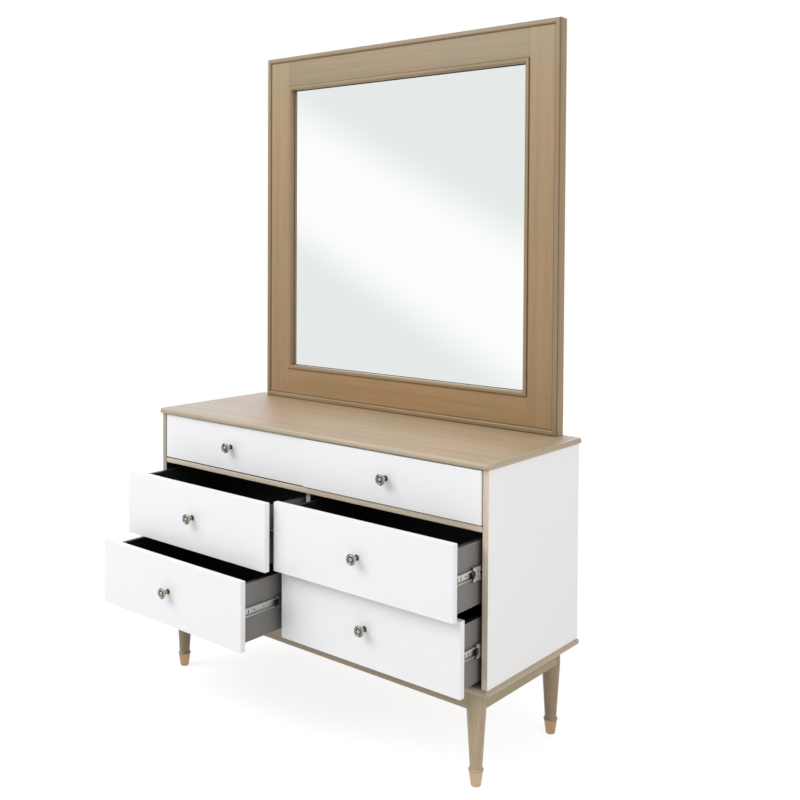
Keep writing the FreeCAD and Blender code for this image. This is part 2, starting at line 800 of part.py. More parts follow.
def mirror():
    """Frame, beads, glass, backing and the battens that hold it up."""
    middle = "(table_top + mirror_height / 2)"
    frame_section = [
        ("0", "outer_bead_depth"),
        ("outer_bead_width", "outer_bead_depth"),
        ("outer_bead_width", "frame_face_setback"),
        ("frame_member_width", "frame_face_setback"),
        ("frame_member_width", "mirror_thickness"),
        ("0", "mirror_thickness"),
    ]
    stiles = []
    for side, hand in SIDES.items():
        stile = new_body(side + "_stile")
        extrude(stile, "XY_Plane",
                [(f"{hand} * (mirror_width / 2 - {across})", back) for across, back in frame_section],
                "mirror_height")
        seats = [rectangle("-overrun", "-overrun", "outer_bead_depth", "outer_bead_width"),
                 rectangle("-overrun", "mirror_height - outer_bead_width",
                           "outer_bead_depth", "mirror_height + overrun")]
        pocket(stile, "YZ_Plane", seats)
        stiles.append(place(stile, y="mirror_front", z="table_top"))
    node("mirror_stiles", group("stiles", stiles))
    rails = []
    for end, hand in (("bottom", -1), ("top", 1)):
        rail = new_body(end + "_rail")
        extrude(rail, "YZ_Plane",
                [(back, f"{hand} * (mirror_height / 2 - {across})") for across, back in frame_section],
                "sight_width", symmetric=True)
        rails.append(place(rail, y="mirror_front", z=middle))
    node("mirror_rails", group("rails", rails))

    moulding_ring("mirror_outer_bead", [
        ("outer_bead_round", "0", "outer_bead_round"),
        ("outer_bead_depth", "0"),
        ("outer_bead_depth", "outer_bead_width"),
        ("outer_bead_round", "outer_bead_width"),
        ("0", "outer_bead_width - outer_bead_round", "outer_bead_round"),
        ("0", "outer_bead_round"),
    ], "mirror_width", "mirror_height", "outer_bead_width", "mirror_front", middle)
    moulding_ring("mirror_inner_bead", [
        ("inner_bead_shoulder", "0", "inner_bead_shoulder"),
        ("inner_bead_depth", "0"),
        ("inner_bead_depth", "inner_bead_width"),
        ("inner_bead_round", "inner_bead_width"),
        ("0", "inner_bead_width - inner_bead_round", "inner_bead_round"),
        ("0", "inner_bead_shoulder"),
    ], "sight_width", "sight_height", "inner_bead_width", "mirror_front + inner_bead_setback",
        middle)

    glass_front = "mirror_front + inner_bead_setback + inner_bead_depth"
    sheet_size = ("sight_width - 2 * glass_clearance", "sight_height - 2 * glass_clearance")
    corner = (f"-({sheet_size[0]}) / 2", f"{middle} - ({sheet_size[1]}) / 2")
    node("mirror_glass", block("glass", (sheet_size[0], "glass_thickness", sheet_size[1]),
                               (corner[0], glass_front, corner[1])))
    node("mirror_backing", block("backing", (sheet_size[0], "backing_thickness", sheet_size[1]),
                                 (corner[0], f"{glass_front} + glass_thickness", corner[1])))
    battens = [block(side + "_batten", ("support_width", "support_thickness", "support_length"),
                     (f"{hand} * (mirror_width - frame_member_width) / 2 - support_width / 2",
                      "back_plane", "table_top - support_drop"))
               for side, hand in SIDES.items()]
    node("mirror_supports", group("battens", battens))


def write_parts():
    """Check every object and each sub-part's shape, then write one file for each sub-part."""
    doc.recompute()
    for item in doc.Objects:
        if "Invalid" in item.State or "Error" in item.State:
            raise RuntimeError(f"{item.Name} failed: {item.State}")
        if item.TypeId == "PartDesign::Pocket":
            if item.Shape.Volume >= item.BaseFeature.Shape.Volume:
                raise RuntimeError(f"{item.Name} cuts nothing")
    for label, item in NODES.items():
        if item.Shape.isNull() or not item.Shape.isValid():
            raise RuntimeError(f"{label} has no valid shape")
    for label, item in NODES.items():
        item.Shape.exportStep(f"parts/{label}.step")
    print(f"{len(NODES)} sub-parts written")


carcass()
base_frame()
outer_members = []
for row in ROWS:
    for side in SIDES:
        outer_members += drawer(row, side)
node("slide_outer_members", group("outer_members", outer_members))
mirror()
write_parts()
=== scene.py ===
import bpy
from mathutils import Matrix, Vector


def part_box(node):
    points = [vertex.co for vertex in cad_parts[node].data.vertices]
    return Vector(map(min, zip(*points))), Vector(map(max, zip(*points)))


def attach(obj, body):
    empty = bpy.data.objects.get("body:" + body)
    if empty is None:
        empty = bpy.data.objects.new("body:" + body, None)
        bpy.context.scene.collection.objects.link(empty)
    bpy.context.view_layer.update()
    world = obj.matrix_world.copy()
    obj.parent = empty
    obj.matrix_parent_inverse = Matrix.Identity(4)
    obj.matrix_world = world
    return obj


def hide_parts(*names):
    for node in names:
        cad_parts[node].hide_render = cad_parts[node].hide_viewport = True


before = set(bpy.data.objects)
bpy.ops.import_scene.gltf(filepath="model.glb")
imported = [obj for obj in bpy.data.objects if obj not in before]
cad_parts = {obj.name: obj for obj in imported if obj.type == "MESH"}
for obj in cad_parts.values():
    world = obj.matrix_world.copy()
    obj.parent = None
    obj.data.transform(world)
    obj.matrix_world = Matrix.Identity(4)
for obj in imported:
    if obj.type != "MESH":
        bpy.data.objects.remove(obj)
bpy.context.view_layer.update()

import math

import bmesh
import bpy
from mathutils import Matrix, Vector

# Tabletop and bottom board
# Boards with a washed ash veneer under satin lacquer. Their front and side edges carry a full
# rounded nosing of solid ash, so each reads as a soft moulding round the white carcass.

MM = 0.001
NOSING_SHARE = 0.42
ARC_STEPS = 6
CORNER_RADIUS = {"tabletop": 10 * MM, "bottom_board": 7.5 * MM}
UPRIGHT = 0.99
SIDE_LEAN = 0.1
TOP_TONES = ("B0997C", "A68F72")
NOSING_TONES = ("B5A58E", "A99A83")
PORE_TONE = "6F5B44"
# real ash has veins of 1 mm and pores of 0.3 mm: both are drawn coarser, so that they show
VEIN_WIDTH = 3.4 * MM
PORE_WIDTH = 1.0 * MM
FIGURE_WIDTH = 26 * MM
CLOUD_WIDTH = 190 * MM
GRAIN_STRETCH = 55
FIGURE_RANGE = (0.75, 1.25)
PORE_RANGE = (0.6, 0.75)
PORE_SHARE = 0.35
PORE_DEPTH = 0.05 * MM
PORE_RELIEF = 0.4
CLOUD_RANGE = (0.3, 0.7)
ROSY_CLOUD = (1.05, 0.98, 0.95, 1)
OLIVE_CLOUD = (0.95, 0.99, 0.95, 1)
SATIN_COAT = 0.22
DULLNESS_SWING = 0.03
BOUNCE_HEIGHTS = (0.80, 1.75)


def linear(code):
    """An sRGB hex colour as linear light."""
    channels = [int(code[place:place + 2], 16) / 255 for place in (0, 2, 4)]
    return [v / 12.92 if v <= 0.04045 else ((v + 0.055) / 1.055) ** 2.4 for v in channels] + [1]


def feed(node, inputs):
    """Give each input of a node its value, the socket that feeds it, or a node for its result."""
    for name, value in inputs.items():
        if isinstance(value, bpy.types.Node):
            value = next(output for output in value.outputs if output.enabled)
        if isinstance(value, bpy.types.NodeSocket):
            node.id_data.links.new(value, node.inputs[name])
        else:
            node.inputs[name].default_value = value


def add(tree, kind, inputs=None, **settings):
    """Add a node with its settings and with what feeds its inputs."""
    made = tree.nodes.new(kind)
    for name, value in settings.items():
        setattr(made, name, value)
    feed(made, inputs or {})
    return made


def finish_of(name, **settings):
    """A new material with its node tree and its shader, set to plain values."""
    made = bpy.data.materials.new(name)
    made.use_nodes = True
    shader = made.node_tree.nodes["Principled BSDF"]
    feed(shader, {socket.replace("_", " "): value for socket, value in settings.items()})
    return made, made.node_tree, shader


def washed_ash(name, along, tones, foot=None, gloss=0.2, dullness=0.41):
    """Open-pored ash rubbed with pale pigment: fine veins, soft figure, short pores, lacquer.

    along is the axis of the grain, gloss the weight of the lacquer's coat and dullness the
    roughness under it. foot gives painted bounce light: deeper tones low on the mirror's frame.
    """
    made, tree, shader = finish_of(name, Coat_Weight=gloss, Coat_Roughness=SATIN_COAT)
    place = add(tree, "ShaderNodeTexCoord").outputs["Object"]
    stretch = [1 / GRAIN_STRETCH if axis == along else 1 for axis in "XYZ"]
    grain = add(tree, "ShaderNodeMapping", {"Vector": place, "Scale": stretch})
    veins, figure, pores, clouds = [
        add(tree, "ShaderNodeTexNoise", {"Vector": vector, "Scale": 1 / width, "Detail": detail})
        for vector, width, detail in ((grain, VEIN_WIDTH, 4), (grain, FIGURE_WIDTH, 2),
                                      (grain, PORE_WIDTH, 1), (place, CLOUD_WIDTH, 2))]
    figured = add(tree, "ShaderNodeMath", {0: veins, 1: figure}, operation="ADD")
    share = add(tree, "ShaderNodeMapRange",
                {"Value": figured, "From Min": FIGURE_RANGE[0], "From Max": FIGURE_RANGE[1]},
                interpolation_type="SMOOTHSTEP")
    wood = add(tree, "ShaderNodeMix", {"Factor": share, 6: linear(tones[1]), 7: linear(tones[0])},
               data_type="RGBA")
    # painted warm bounce light from the tabletop, lower on the frame
    if foot:
        bounce_lit_wood = add(tree, "ShaderNodeMix",
                       {"Factor": share, 6: linear(foot[1]), 7: linear(foot[0])},
                       data_type="RGBA")
        height = add(tree, "ShaderNodeSeparateXYZ", {"Vector": place}).outputs["Z"]
        rise = add(tree, "ShaderNodeMapRange",
                   {"Value": height, "From Min": BOUNCE_HEIGHTS[0], "From Max": BOUNCE_HEIGHTS[1]},
                   interpolation_type="SMOOTHSTEP")
        wood = add(tree, "ShaderNodeMix", {"Factor": rise, 6: bounce_lit_wood, 7: wood},
                   data_type="RGBA")
    pored = add(tree, "ShaderNodeMapRange",
                {"Value": pores, "From Min": PORE_RANGE[0], "From Max": PORE_RANGE[1],
                 "To Max": PORE_SHARE}, interpolation_type="SMOOTHSTEP")
    wood = add(tree, "ShaderNodeMix", {"Factor": pored, 6: wood, 7: linear(PORE_TONE)},
               data_type="RGBA")
    clouded = add(tree, "ShaderNodeMapRange",
                  {"Value": clouds, "From Min": CLOUD_RANGE[0], "From Max": CLOUD_RANGE[1]},
                  interpolation_type="SMOOTHSTEP")
    cloud = add(tree, "ShaderNodeMix", {"Factor": clouded, 6: OLIVE_CLOUD, 7: ROSY_CLOUD},
                data_type="RGBA")
    toned = add(tree, "ShaderNodeVectorMath", {0: wood, 1: cloud}, operation="MULTIPLY")
    dull = add(tree, "ShaderNodeMapRange",
               {"Value": veins, "To Min": dullness + DULLNESS_SWING,
                "To Max": dullness - DULLNESS_SWING}, interpolation_type="SMOOTHSTEP")
    relief = add(tree, "ShaderNodeBump",
                 {"Height": pores, "Distance": PORE_DEPTH, "Strength": PORE_RELIEF}, invert=True)
    feed(shader, {"Base Color": toned, "Roughness": dull, "Normal": relief})
    return made


# sliced ash veneer, washed a sandy taupe, under a thin lacquer that shines little
top_veneer = washed_ash("washed_ash_veneer", "X", TOP_TONES, gloss=0, dullness=0.55)
# solid ash of the same wash, paler than the veneer
nosing = {axis: washed_ash("washed_ash_nosing_along_" + axis, axis, NOSING_TONES)
          for axis in "XY"}


def settle(piece):
    """Turn a piece's modifiers into plain mesh."""
    graph = bpy.context.evaluated_depsgraph_get()
    mesh = bpy.data.meshes.new_from_object(piece.evaluated_get(graph))
    piece.modifiers.clear()
    piece.data = mesh
    return piece


def build(name, form, finishes, corner=50):
    """An object of a form, shaded smooth but for corners sharper than an angle in degrees."""
    mesh = bpy.data.meshes.new(name)
    form.to_mesh(mesh)
    form.free()
    for finish in finishes:
        mesh.materials.append(finish)
    mesh.shade_smooth()
    mesh.set_sharp_from_angle(angle=math.radians(corner))
    piece = bpy.data.objects.new(name, mesh)
    bpy.context.scene.collection.objects.link(piece)
    return piece


def fix(piece, body, slot, *nodes):
    """Let a finished piece ride on its body, in place of the CAD nodes that it stands for."""
    piece.modifiers.new("even_shading", "WEIGHTED_NORMAL").keep_sharp = True
    settle(piece)
    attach(piece, body)
    if nodes:
        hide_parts(*nodes)


def arc(radius, first, last, steps=ARC_STEPS):
    """Points on an arc between two angles in degrees."""
    angles = [math.radians(first + (last - first) * step / steps) for step in range(steps + 1)]
    return [(radius * math.cos(angle), radius * math.sin(angle)) for angle in angles]


def skin(loops):
    """A closed form: faces between matching loops of points, capped at the first and the last."""
    form = bmesh.new()
    rings = [[form.verts.new(point) for point in loop] for loop in loops]
    for low, high in zip(rings, rings[1:]):
        for here in range(len(low)):
            after = (here + 1) % len(low)
            form.faces.new((low[here], low[after], high[after], high[here]))
    form.faces.new(rings[0][::-1])
    form.faces.new(rings[-1])
    bmesh.ops.recalc_face_normals(form, faces=form.faces)
    return form


def paint(form, wanted, finish_number):
    """Give the faces that pass a test another of the piece's finishes."""
    form.normal_update()
    for face in form.faces:
        if wanted(face.normal, face.calc_center_median()):
            face.material_index = finish_number
    return form


def nosed_board(low, high, corner):
    """A board with rounded front corners and a nosing on its front and side edges."""
    nose = (high.z - low.z) * NOSING_SHARE
    lower = [(nose - x, low.z + nose - z) for x, z in arc(nose, 90, 0)]
    upper = [(nose - x, high.z - nose + z) for x, z in arc(nose, 0, 90)]
    loops = []
    for inset, z in lower + upper:
        radius = corner - inset
        left, right, front = low.x + inset, high.x - inset, low.y + inset
        turn = [(left + radius + x, front + radius + y) for x, y in arc(radius, 180, 270)]
        turn += [(right - radius + x, front + radius + y) for x, y in arc(radius, 270, 360)]
        loops.append([(x, y, z) for x, y in [(left, high.y), *turn, (right, high.y)]])
    return skin(loops)


for node, corner_radius in CORNER_RADIUS.items():
    board = nosed_board(*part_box(node), corner_radius)
    paint(board, lambda normal, at: abs(normal.z) < UPRIGHT, 1)
    paint(board, lambda normal, at: abs(normal.x) > abs(normal.y) + SIDE_LEAN, 2)
    fix(build(node + "_veneered", board, [top_veneer, nosing["X"], nosing["Y"]]), "carcass",
        "washed_wood", node)


# Side panels, edge strips, rail and divider
# Chipboard with white satin lacquer outside and black foil inside. Thin ash strips are glued on
# the front edges of the side panels. The divider, with a grey edge, is notched over the rail.

WHITE = "F2F1F1"
LACQUER_RIPPLE = 2.6 * MM
RIPPLE_DEPTH = 0.012 * MM
BLACK_FOIL = "1A1919"
EDGE_GREY = "B9B6AE"
# foil and hardboard have a grain of 0.5 mm: it is drawn coarser, so that it shows
FIBRE_WIDTH = 2.2 * MM
FIBRE_DEPTH = 0.03 * MM
FIBRE_RELIEF = 0.5
MOTTLE_RANGE = (0.6, 1.4)
PALE_AND_LIT_STRIP_TONES = ("DACCB9", "CDBEAA")
SHADED_LEFT_STRIP_TONES = ("AFA293", "A39687")
PANEL_EASE = 0.5 * MM
EDGE_EASE = 0.4 * MM
STRIP_EASE = 0.3 * MM
RAIL_EASE = 3 * MM
FACING = 0.5
WELD = 0.005 * MM
FLAT_ANGLE = 0.5
CORNER_ANGLE = 30


def pressed_sheet(name, code, width, contrast, depth=FIBRE_DEPTH, **settings):
    """Foil, lacquer or board with a fine mottle and ripple of one width."""
    made, tree, shader = finish_of(name, **settings)
    place = add(tree, "ShaderNodeTexCoord").outputs["Object"]
    mottle, clouds = [
        add(tree, "ShaderNodeTexNoise", {"Vector": place, "Scale": 1 / size, "Detail": detail})
        for size, detail in ((width, 3), (CLOUD_WIDTH, 1))]
    mottled = add(tree, "ShaderNodeMath", {0: mottle, 1: clouds}, operation="ADD")
    share = add(tree, "ShaderNodeMapRange",
                {"Value": mottled, "From Min": MOTTLE_RANGE[0], "From Max": MOTTLE_RANGE[1],
                 "To Min": 1 - contrast, "To Max": 1 + contrast},
                interpolation_type="SMOOTHSTEP")
    toned = add(tree, "ShaderNodeVectorMath", {0: linear(code)[:3], 1: share},
                operation="MULTIPLY")
    relief = add(tree, "ShaderNodeBump",
                 {"Height": mottle, "Distance": depth, "Strength": FIBRE_RELIEF})
    feed(shader, {"Base Color": toned, "Normal": relief})
    return made


# sprayed two-pack lacquer, nearly flat, with a faint ripple that breaks its gloss
lacquer = pressed_sheet("white_satin_lacquer", WHITE, LACQUER_RIPPLE, contrast=0.008,
                        depth=RIPPLE_DEPTH, Roughness=0.36, Coat_Weight=0.2,
                        Coat_Roughness=SATIN_COAT)
# embossed melamine foil, matt and nearly black, that hides the chipboard
black_foil = pressed_sheet("black_foil", BLACK_FOIL, FIBRE_WIDTH, contrast=0.15, Roughness=0.55)
# melamine tape, ironed on, plain grey and a little shiny
edge_tape = pressed_sheet("grey_edge_tape", EDGE_GREY, FIBRE_WIDTH, contrast=0.04, Roughness=0.45)
# pale solid ash strips, made paler still as painted light where the open drawers shade them
strip = {axis: washed_ash("washed_ash_strip_along_" + axis, axis, PALE_AND_LIT_STRIP_TONES) for axis in "XZ"}
# painted shade: the left side's strip is darker and greyer than the right one
shaded_left_strip = washed_ash("washed_ash_shaded_left_strip", "Z", SHADED_LEFT_STRIP_TONES)


def eased(node, radius):
    """A CAD node's own form with its corners eased by a small radius."""
    form = bmesh.new()
    form.from_mesh(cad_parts[node].data)
    bmesh.ops.remove_doubles(form, verts=form.verts, dist=WELD)
    bmesh.ops.dissolve_limit(form, angle_limit=math.radians(FLAT_ANGLE), verts=form.verts,
                             edges=form.edges)
    sharp = math.radians(CORNER_ANGLE)
    corners = [edge for edge in form.edges if edge.calc_face_angle(0) > sharp]
    bmesh.ops.bevel(form, geom=corners, offset=radius, segments=2, profile=0.5, affect="EDGES")
    return form


for side, outward in (("left", -1), ("right", 1)):
    panel = eased(side + "_side_panel", PANEL_EASE)
    paint(panel, lambda normal, at: normal.x * outward < -FACING, 1)
    fix(build(side + "_side_board", panel, [lacquer, black_foil]), "carcass", "white_lacquer",
        side + "_side_panel")

# painted shade: the panels' black foil on the strips' inner faces darkens the gaps by the fronts
strips = paint(eased("front_edgings", STRIP_EASE), lambda normal, at: at.x < 0, 1)
paint(strips, lambda normal, at: normal.x * at.x < 0 and abs(normal.x) > FACING, 2)
fix(build("front_edge_strips", strips, [strip["Z"], shaded_left_strip, black_foil]), "carcass",
    "washed_wood", "front_edgings")
# painted shade: black foil on the rail's top and upper round darkens the gap under the fronts
rail = paint(eased("drawer_rail", RAIL_EASE), lambda normal, at: normal.y > -FACING, 1)
fix(build("drawer_rail_board", rail, [strip["X"], black_foil]), "carcass", "washed_wood",
    "drawer_rail")
divider = eased("centre_divider", EDGE_EASE)
paint(divider, lambda normal, at: abs(normal.x) > FACING or normal.y > FACING, 1)
fix(build("divider_board", divider, [edge_tape, black_foil]), "carcass", "dark_board",
    "centre_divider")
fix(build("back_rail_board", eased("back_rail", EDGE_EASE), [black_foil]), "carcass",
    "dark_board", "back_rail")


# Back panel
# A sheet of hardboard in the rebates of the side panels, held by round-headed pins that are
# driven in round its edge.

HARDBOARD = "927A5B"
PIN_INSET = 12 * MM
PIN_SINK = 0.2 * MM
PIN_SIDES = 12
PINS = (9, 2)
# the pin's head as radius and reach in millimetres
PIN_HEAD = ((2.4, 0), (2.4, 0.3), (1.44, 0.9), (0.2, 1.1))
ZINC = "C9CAC6"
# real rolling marks are finer than a pixel: drawn coarser, they break the shine
ROLL_WIDTH = 1.6 * MM
MARK_RANGE = (0.3, 0.7)
MARK_TONES = (0.88, 1.04)
POLISH_SWING = 0.08

# pressed fibres, brown and dull, as sawn from the sheet
hardboard = pressed_sheet("raw_hardboard", HARDBOARD, FIBRE_WIDTH, contrast=0.08, Roughness=0.7)


def bare_metal(name, code, width, roughness):
    """Bare or plated metal with faint marks of one width from its rolling or turning."""
    made, tree, shader = finish_of(name, Metallic=1.0)
    place = add(tree, "ShaderNodeTexCoord").outputs["Object"]
    marks = add(tree, "ShaderNodeTexNoise", {"Vector": place, "Scale": 1 / width, "Detail": 4})
    share = add(tree, "ShaderNodeMapRange",
                {"Value": marks, "From Min": MARK_RANGE[0], "From Max": MARK_RANGE[1],
                 "To Min": MARK_TONES[0], "To Max": MARK_TONES[1]},
                interpolation_type="SMOOTHSTEP")
    toned = add(tree, "ShaderNodeVectorMath", {0: linear(code)[:3], 1: share},
                operation="MULTIPLY")
    dull = add(tree, "ShaderNodeMapRange",
               {"Value": marks, "To Min": roughness - POLISH_SWING,
                "To Max": roughness + POLISH_SWING}, interpolation_type="SMOOTHSTEP")
    feed(shader, {"Base Color": toned, "Roughness": dull})
    return made


# rolled strip with bright zinc plating, pale grey and a little milky
zinc = bare_metal("zinc_plated_steel", ZINC, ROLL_WIDTH, roughness=0.38)


def in_metres(points):
    """Points written in millimetres, in metres."""
    return [(first * MM, second * MM) for first, second in points]


def turned(outline, sides, axis=(0, 0, 1), at=(0, 0, 0)):
    """Turn an outline of (radius, reach) points about an axis through a point."""
    turns = [2 * math.pi * side / sides for side in range(sides)]
    form = skin([[(radius * math.cos(turn), radius * math.sin(turn), reach) for turn in turns]
                 for radius, reach in outline])
    way = Vector((0, 0, 1)).rotation_difference(Vector(axis)).to_matrix().to_4x4()
    form.transform(Matrix.Translation(at) @ way)
    return form


def rows_tree():
    """A node tree that sets out copies of a mesh in rows along three steps."""
    tree = bpy.data.node_groups.new("set_out_in_rows", "GeometryNodeTree")
    sockets = [("Piece", "Geometry"), ("Finish", "Material")]
    for row in "123":
        sockets += [("Count " + row, "Int"), ("Step " + row, "Vector")]
    for name, kind in sockets:
        tree.interface.new_socket(name, in_out="INPUT", socket_type="NodeSocket" + kind)
    tree.interface.new_socket("Rows", in_out="OUTPUT", socket_type="NodeSocketGeometry")
    entry = add(tree, "NodeGroupInput").outputs
    made = entry["Piece"]
    for row in "123":
        line = add(tree, "GeometryNodeMeshLine",
                   {"Count": entry["Count " + row], "Offset": entry["Step " + row]},
                   mode="OFFSET")
        copies = add(tree, "GeometryNodeInstanceOnPoints", {"Points": line, "Instance": made})
        made = add(tree, "GeometryNodeRealizeInstances", {"Geometry": copies})
    painted = add(tree, "GeometryNodeSetMaterial",
                  {"Geometry": made, "Material": entry["Finish"]})
    add(tree, "NodeGroupOutput", {"Rows": painted})
    return tree


set_out_in_rows = rows_tree()


def set_out(name, form, finish, *rows):
    """Repeat a small form in rows, each a count and a step, as one plain mesh."""
    piece = build(name, form, [finish])
    modifier = piece.modifiers.new("rows", "NODES")
    modifier.node_group = set_out_in_rows
    values = {"Finish": finish}
    for row, (count, step) in zip("123", [*rows, (1, (0, 0, 0)), (1, (0, 0, 0))]):
        values["Count " + row] = count
        values["Step " + row] = step
    for socket in set_out_in_rows.interface.items_tree:
        if socket.name in values:
            modifier[socket.identifier] = values[socket.name]
    return settle(piece)


def spaced(first, last, across, up):
    """Two rows that fill an upright rectangle with so many pieces across and so many up."""
    way = last - first
    return (across, Vector((way.x, 0, 0)) / (across - 1)), (up, Vector((0, 0, way.z)) / (up - 1))


fix(build("back_sheet", eased("back_panel", EDGE_EASE), [hardboard]), "carcass", "back_board",
    "back_panel")
low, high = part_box("back_panel")
first_pin = Vector((low.x + PIN_INSET, high.y - PIN_SINK, low.z + PIN_INSET))
last_pin = Vector((high.x - PIN_INSET, first_pin.y, high.z - PIN_INSET))
pin = turned(in_metres(PIN_HEAD), PIN_SIDES, (0, 1, 0), first_pin)
pins = set_out("back_panel_pins", pin, zinc, *spaced(first_pin, last_pin, *PINS))
fix(pins, "carcass", "zinc_steel")


# Base frame
# Solid ash aprons are scribed to four legs, turned as a long taper that flares to a thin collar.
# A spun copper cap is pressed on each foot, with its edge under the collar.

LEG_SIDES = 64
LEG_TONES = ("B4A387", "A7967A")
SHADED_LEG_TONES = ("9C876B", "8F7A5E")
APRON_TONES = ("A3916F", "988664")
APRON_EASE = 0.7 * MM
COPPER = "C0A686"
SHADED_COPPER = "AD8F6C"
CAP_RADIUS = 18 * MM
CAP_FOOT_RADIUS = 12.5 * MM
CAP_TOE_ROUND = 3 * MM
CAP_RIM = ((0.4 * MM, 0.8 * MM), (0.9 * MM, 0))
AXIS_RADIUS = 1 * MM
STUB_RADIUS = 10 * MM
STUB_BOTTOM = 18 * MM
STUB_PLAY = 0.1 * MM
# the collar and the ankle over it, as radius and height above the cap in millimetres
COLLAR = ((18, 0), (18.5, 0.7), (18.4, 3), (17.8, 4.2), (16.4, 5.4), (15.3, 6.5), (15.45, 10.5))
TAPER_TOP = (0.4 * MM, 12 * MM)

# solid ash, washed taupe; the side aprons are darker than the long ones
leg_ash = {axis: washed_ash("washed_ash_base_along_" + axis, axis,
                            APRON_TONES if axis == "Y" else LEG_TONES) for axis in "XYZ"}
# painted shade: the three legs away from the front right have a darker ash
shaded_leg_ash = washed_ash("washed_ash_shaded_legs", "Z", SHADED_LEG_TONES)
# spun copper, lacquered, paler than raw copper and slightly clouded by handling
copper = bare_metal("spun_copper", COPPER, ROLL_WIDTH, roughness=0.3)
# the same, a little rougher, with a darker tone that is painted shade for three caps
shaded_copper = bare_metal("shaded_spun_copper", SHADED_COPPER, ROLL_WIDTH, roughness=0.34)

foot_low, foot_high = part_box("foot_tips")
legs_low, legs_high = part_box("front_legs")
apron_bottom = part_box("long_aprons")[0].z
leg_radius = (legs_high.y - legs_low.y) / 2
span_x = foot_high.x - foot_low.x - 2 * CAP_RADIUS
span_y = foot_high.y - foot_low.y - 2 * CAP_RADIUS
first_leg = (-span_x / 2, -span_y / 2, 0)
cap_top, leg_top = foot_high.z, legs_high.z
leg_rows = ((2, (span_x, 0, 0)), (2, (0, span_y, 0)))


def all_but_front_right(piece, finish):
    """Give a set of four another finish, but for the one at the front right."""
    piece.data.materials.append(finish)
    for face in piece.data.polygons:
        if face.center.x < 0 or face.center.y > 0:
            face.material_index = 1


leg_outline = [(AXIS_RADIUS, STUB_BOTTOM), (STUB_RADIUS, STUB_BOTTOM), (STUB_RADIUS, cap_top)]
leg_outline += [(radius, cap_top + rise) for radius, rise in in_metres(COLLAR)]
leg_outline += [(leg_radius - TAPER_TOP[0], apron_bottom - TAPER_TOP[1]),
                (leg_radius, apron_bottom), (leg_radius, leg_top), (AXIS_RADIUS, leg_top)]
legs = set_out("turned_legs", turned(leg_outline, LEG_SIDES, at=first_leg), leg_ash["Z"],
               *leg_rows)
# painted shade: darker ash on all legs but the front right one
all_but_front_right(legs, shaded_leg_ash)
fix(legs, "carcass", "washed_wood", "front_legs", "back_legs")

toe = CAP_FOOT_RADIUS - CAP_TOE_ROUND
cap_outline = [(AXIS_RADIUS, 0)]
cap_outline += [(toe + x, CAP_TOE_ROUND + z) for x, z in arc(CAP_TOE_ROUND, -90, -10)]
cap_outline += [(CAP_RADIUS - inset, cap_top - drop) for inset, drop in CAP_RIM]
cap_outline += [(STUB_RADIUS + STUB_PLAY, cap_top), (STUB_RADIUS + STUB_PLAY, STUB_BOTTOM),
                (AXIS_RADIUS, STUB_BOTTOM)]
caps = set_out("copper_foot_caps", turned(cap_outline, LEG_SIDES, at=first_leg), copper,
               *leg_rows)
# painted shade: darker copper on all caps but the front right one
all_but_front_right(caps, shaded_copper)
fix(caps, "carcass", "copper_tip", "foot_tips")

for node, along in (("long_aprons", "X"), ("side_aprons", "Y")):
    fix(build(node + "_scribed", eased(node, APRON_EASE), [leg_ash[along]]), "carcass",
        "washed_wood", node)


# Telescopic slides
# Zinc-plated steel strip is rolled to three channels that run in each other on steel balls. The
# outer one is fixed to the carcass, the inner one to the drawer, and black cages keep the balls
# of both races apart.

GAUGE = 1.2 * MM
BEND = 1.2 * MM
BEND_STEPS = 3
LIP = 3.2 * MM
RACE_GAP = 4 * MM
SLIDE_SPACE = 12.7 * MM
OUTER_DEPTH = 9 * MM
MIDDLE_OFFSET = 2.8 * MM
MIDDLE_DEPTH = 7.8 * MM
MIDDLE_MARGIN = 5 * MM
INNER_DEPTH = 7.1 * MM
# openings as start, length, rise and height in millimetres: two upright ones and a short level
# one behind the drawer's front
INNER_OPENINGS = ((9, 4, 0, 9), (22, 4, 0, 8), (40, 8, 0, 4))
# a notch that shows the cage, a pair of small openings and a long slot behind them
MIDDLE_OPENINGS = ((-12, 22, 0, 22), (18, 3, 6, 7), (18, 3, -6, 7), (27, 70, 0, 8))
PUNCH_REACH = 5 * MM
PUNCH_STEPS = 4
PUNCH_ROUND = 0.999
BALL_RADIUS = 1.85 * MM
BALL_PITCH = 8.8 * MM
BALLS = 9
CAGE_LENGTH = 90 * MM
CAGE_GAUGE = 0.7 * MM
CAGE_PLAY = 0.6 * MM
OUTER_CAGE_SEAT = 1.65 * MM
OUTER_CAGE_INSET = 8 * MM
INNER_CAGE_SEAT = 0.2 * MM
INNER_CAGE_INSET = 0.5 * MM
# the screw's head with its cross recess as a dish, as radius and reach in millimetres
SCREW_HEAD = ((3.8, 0), (3.8, 0.9), (3.42, 1.6), (2.28, 2.1), (1.596, 2.2), (1.292, 1.2),
              (0.2, 0.8))
SCREW_SIDES = 20
SCREW_PITCH = 96 * MM
FIRST_SCREW = 72 * MM
SCREWS = 3
POLISHED = "D8D9DB"
PLASTIC = "141416"

# hard polished balls, the brightest spots of the slide
ball_steel = bare_metal("polished_steel", POLISHED, ROLL_WIDTH, roughness=0.2)
# moulded black cages, dull and even
cage_plastic = pressed_sheet("moulded_black_plastic", PLASTIC, FIBRE_WIDTH, contrast=0.08,
                             Roughness=0.42)


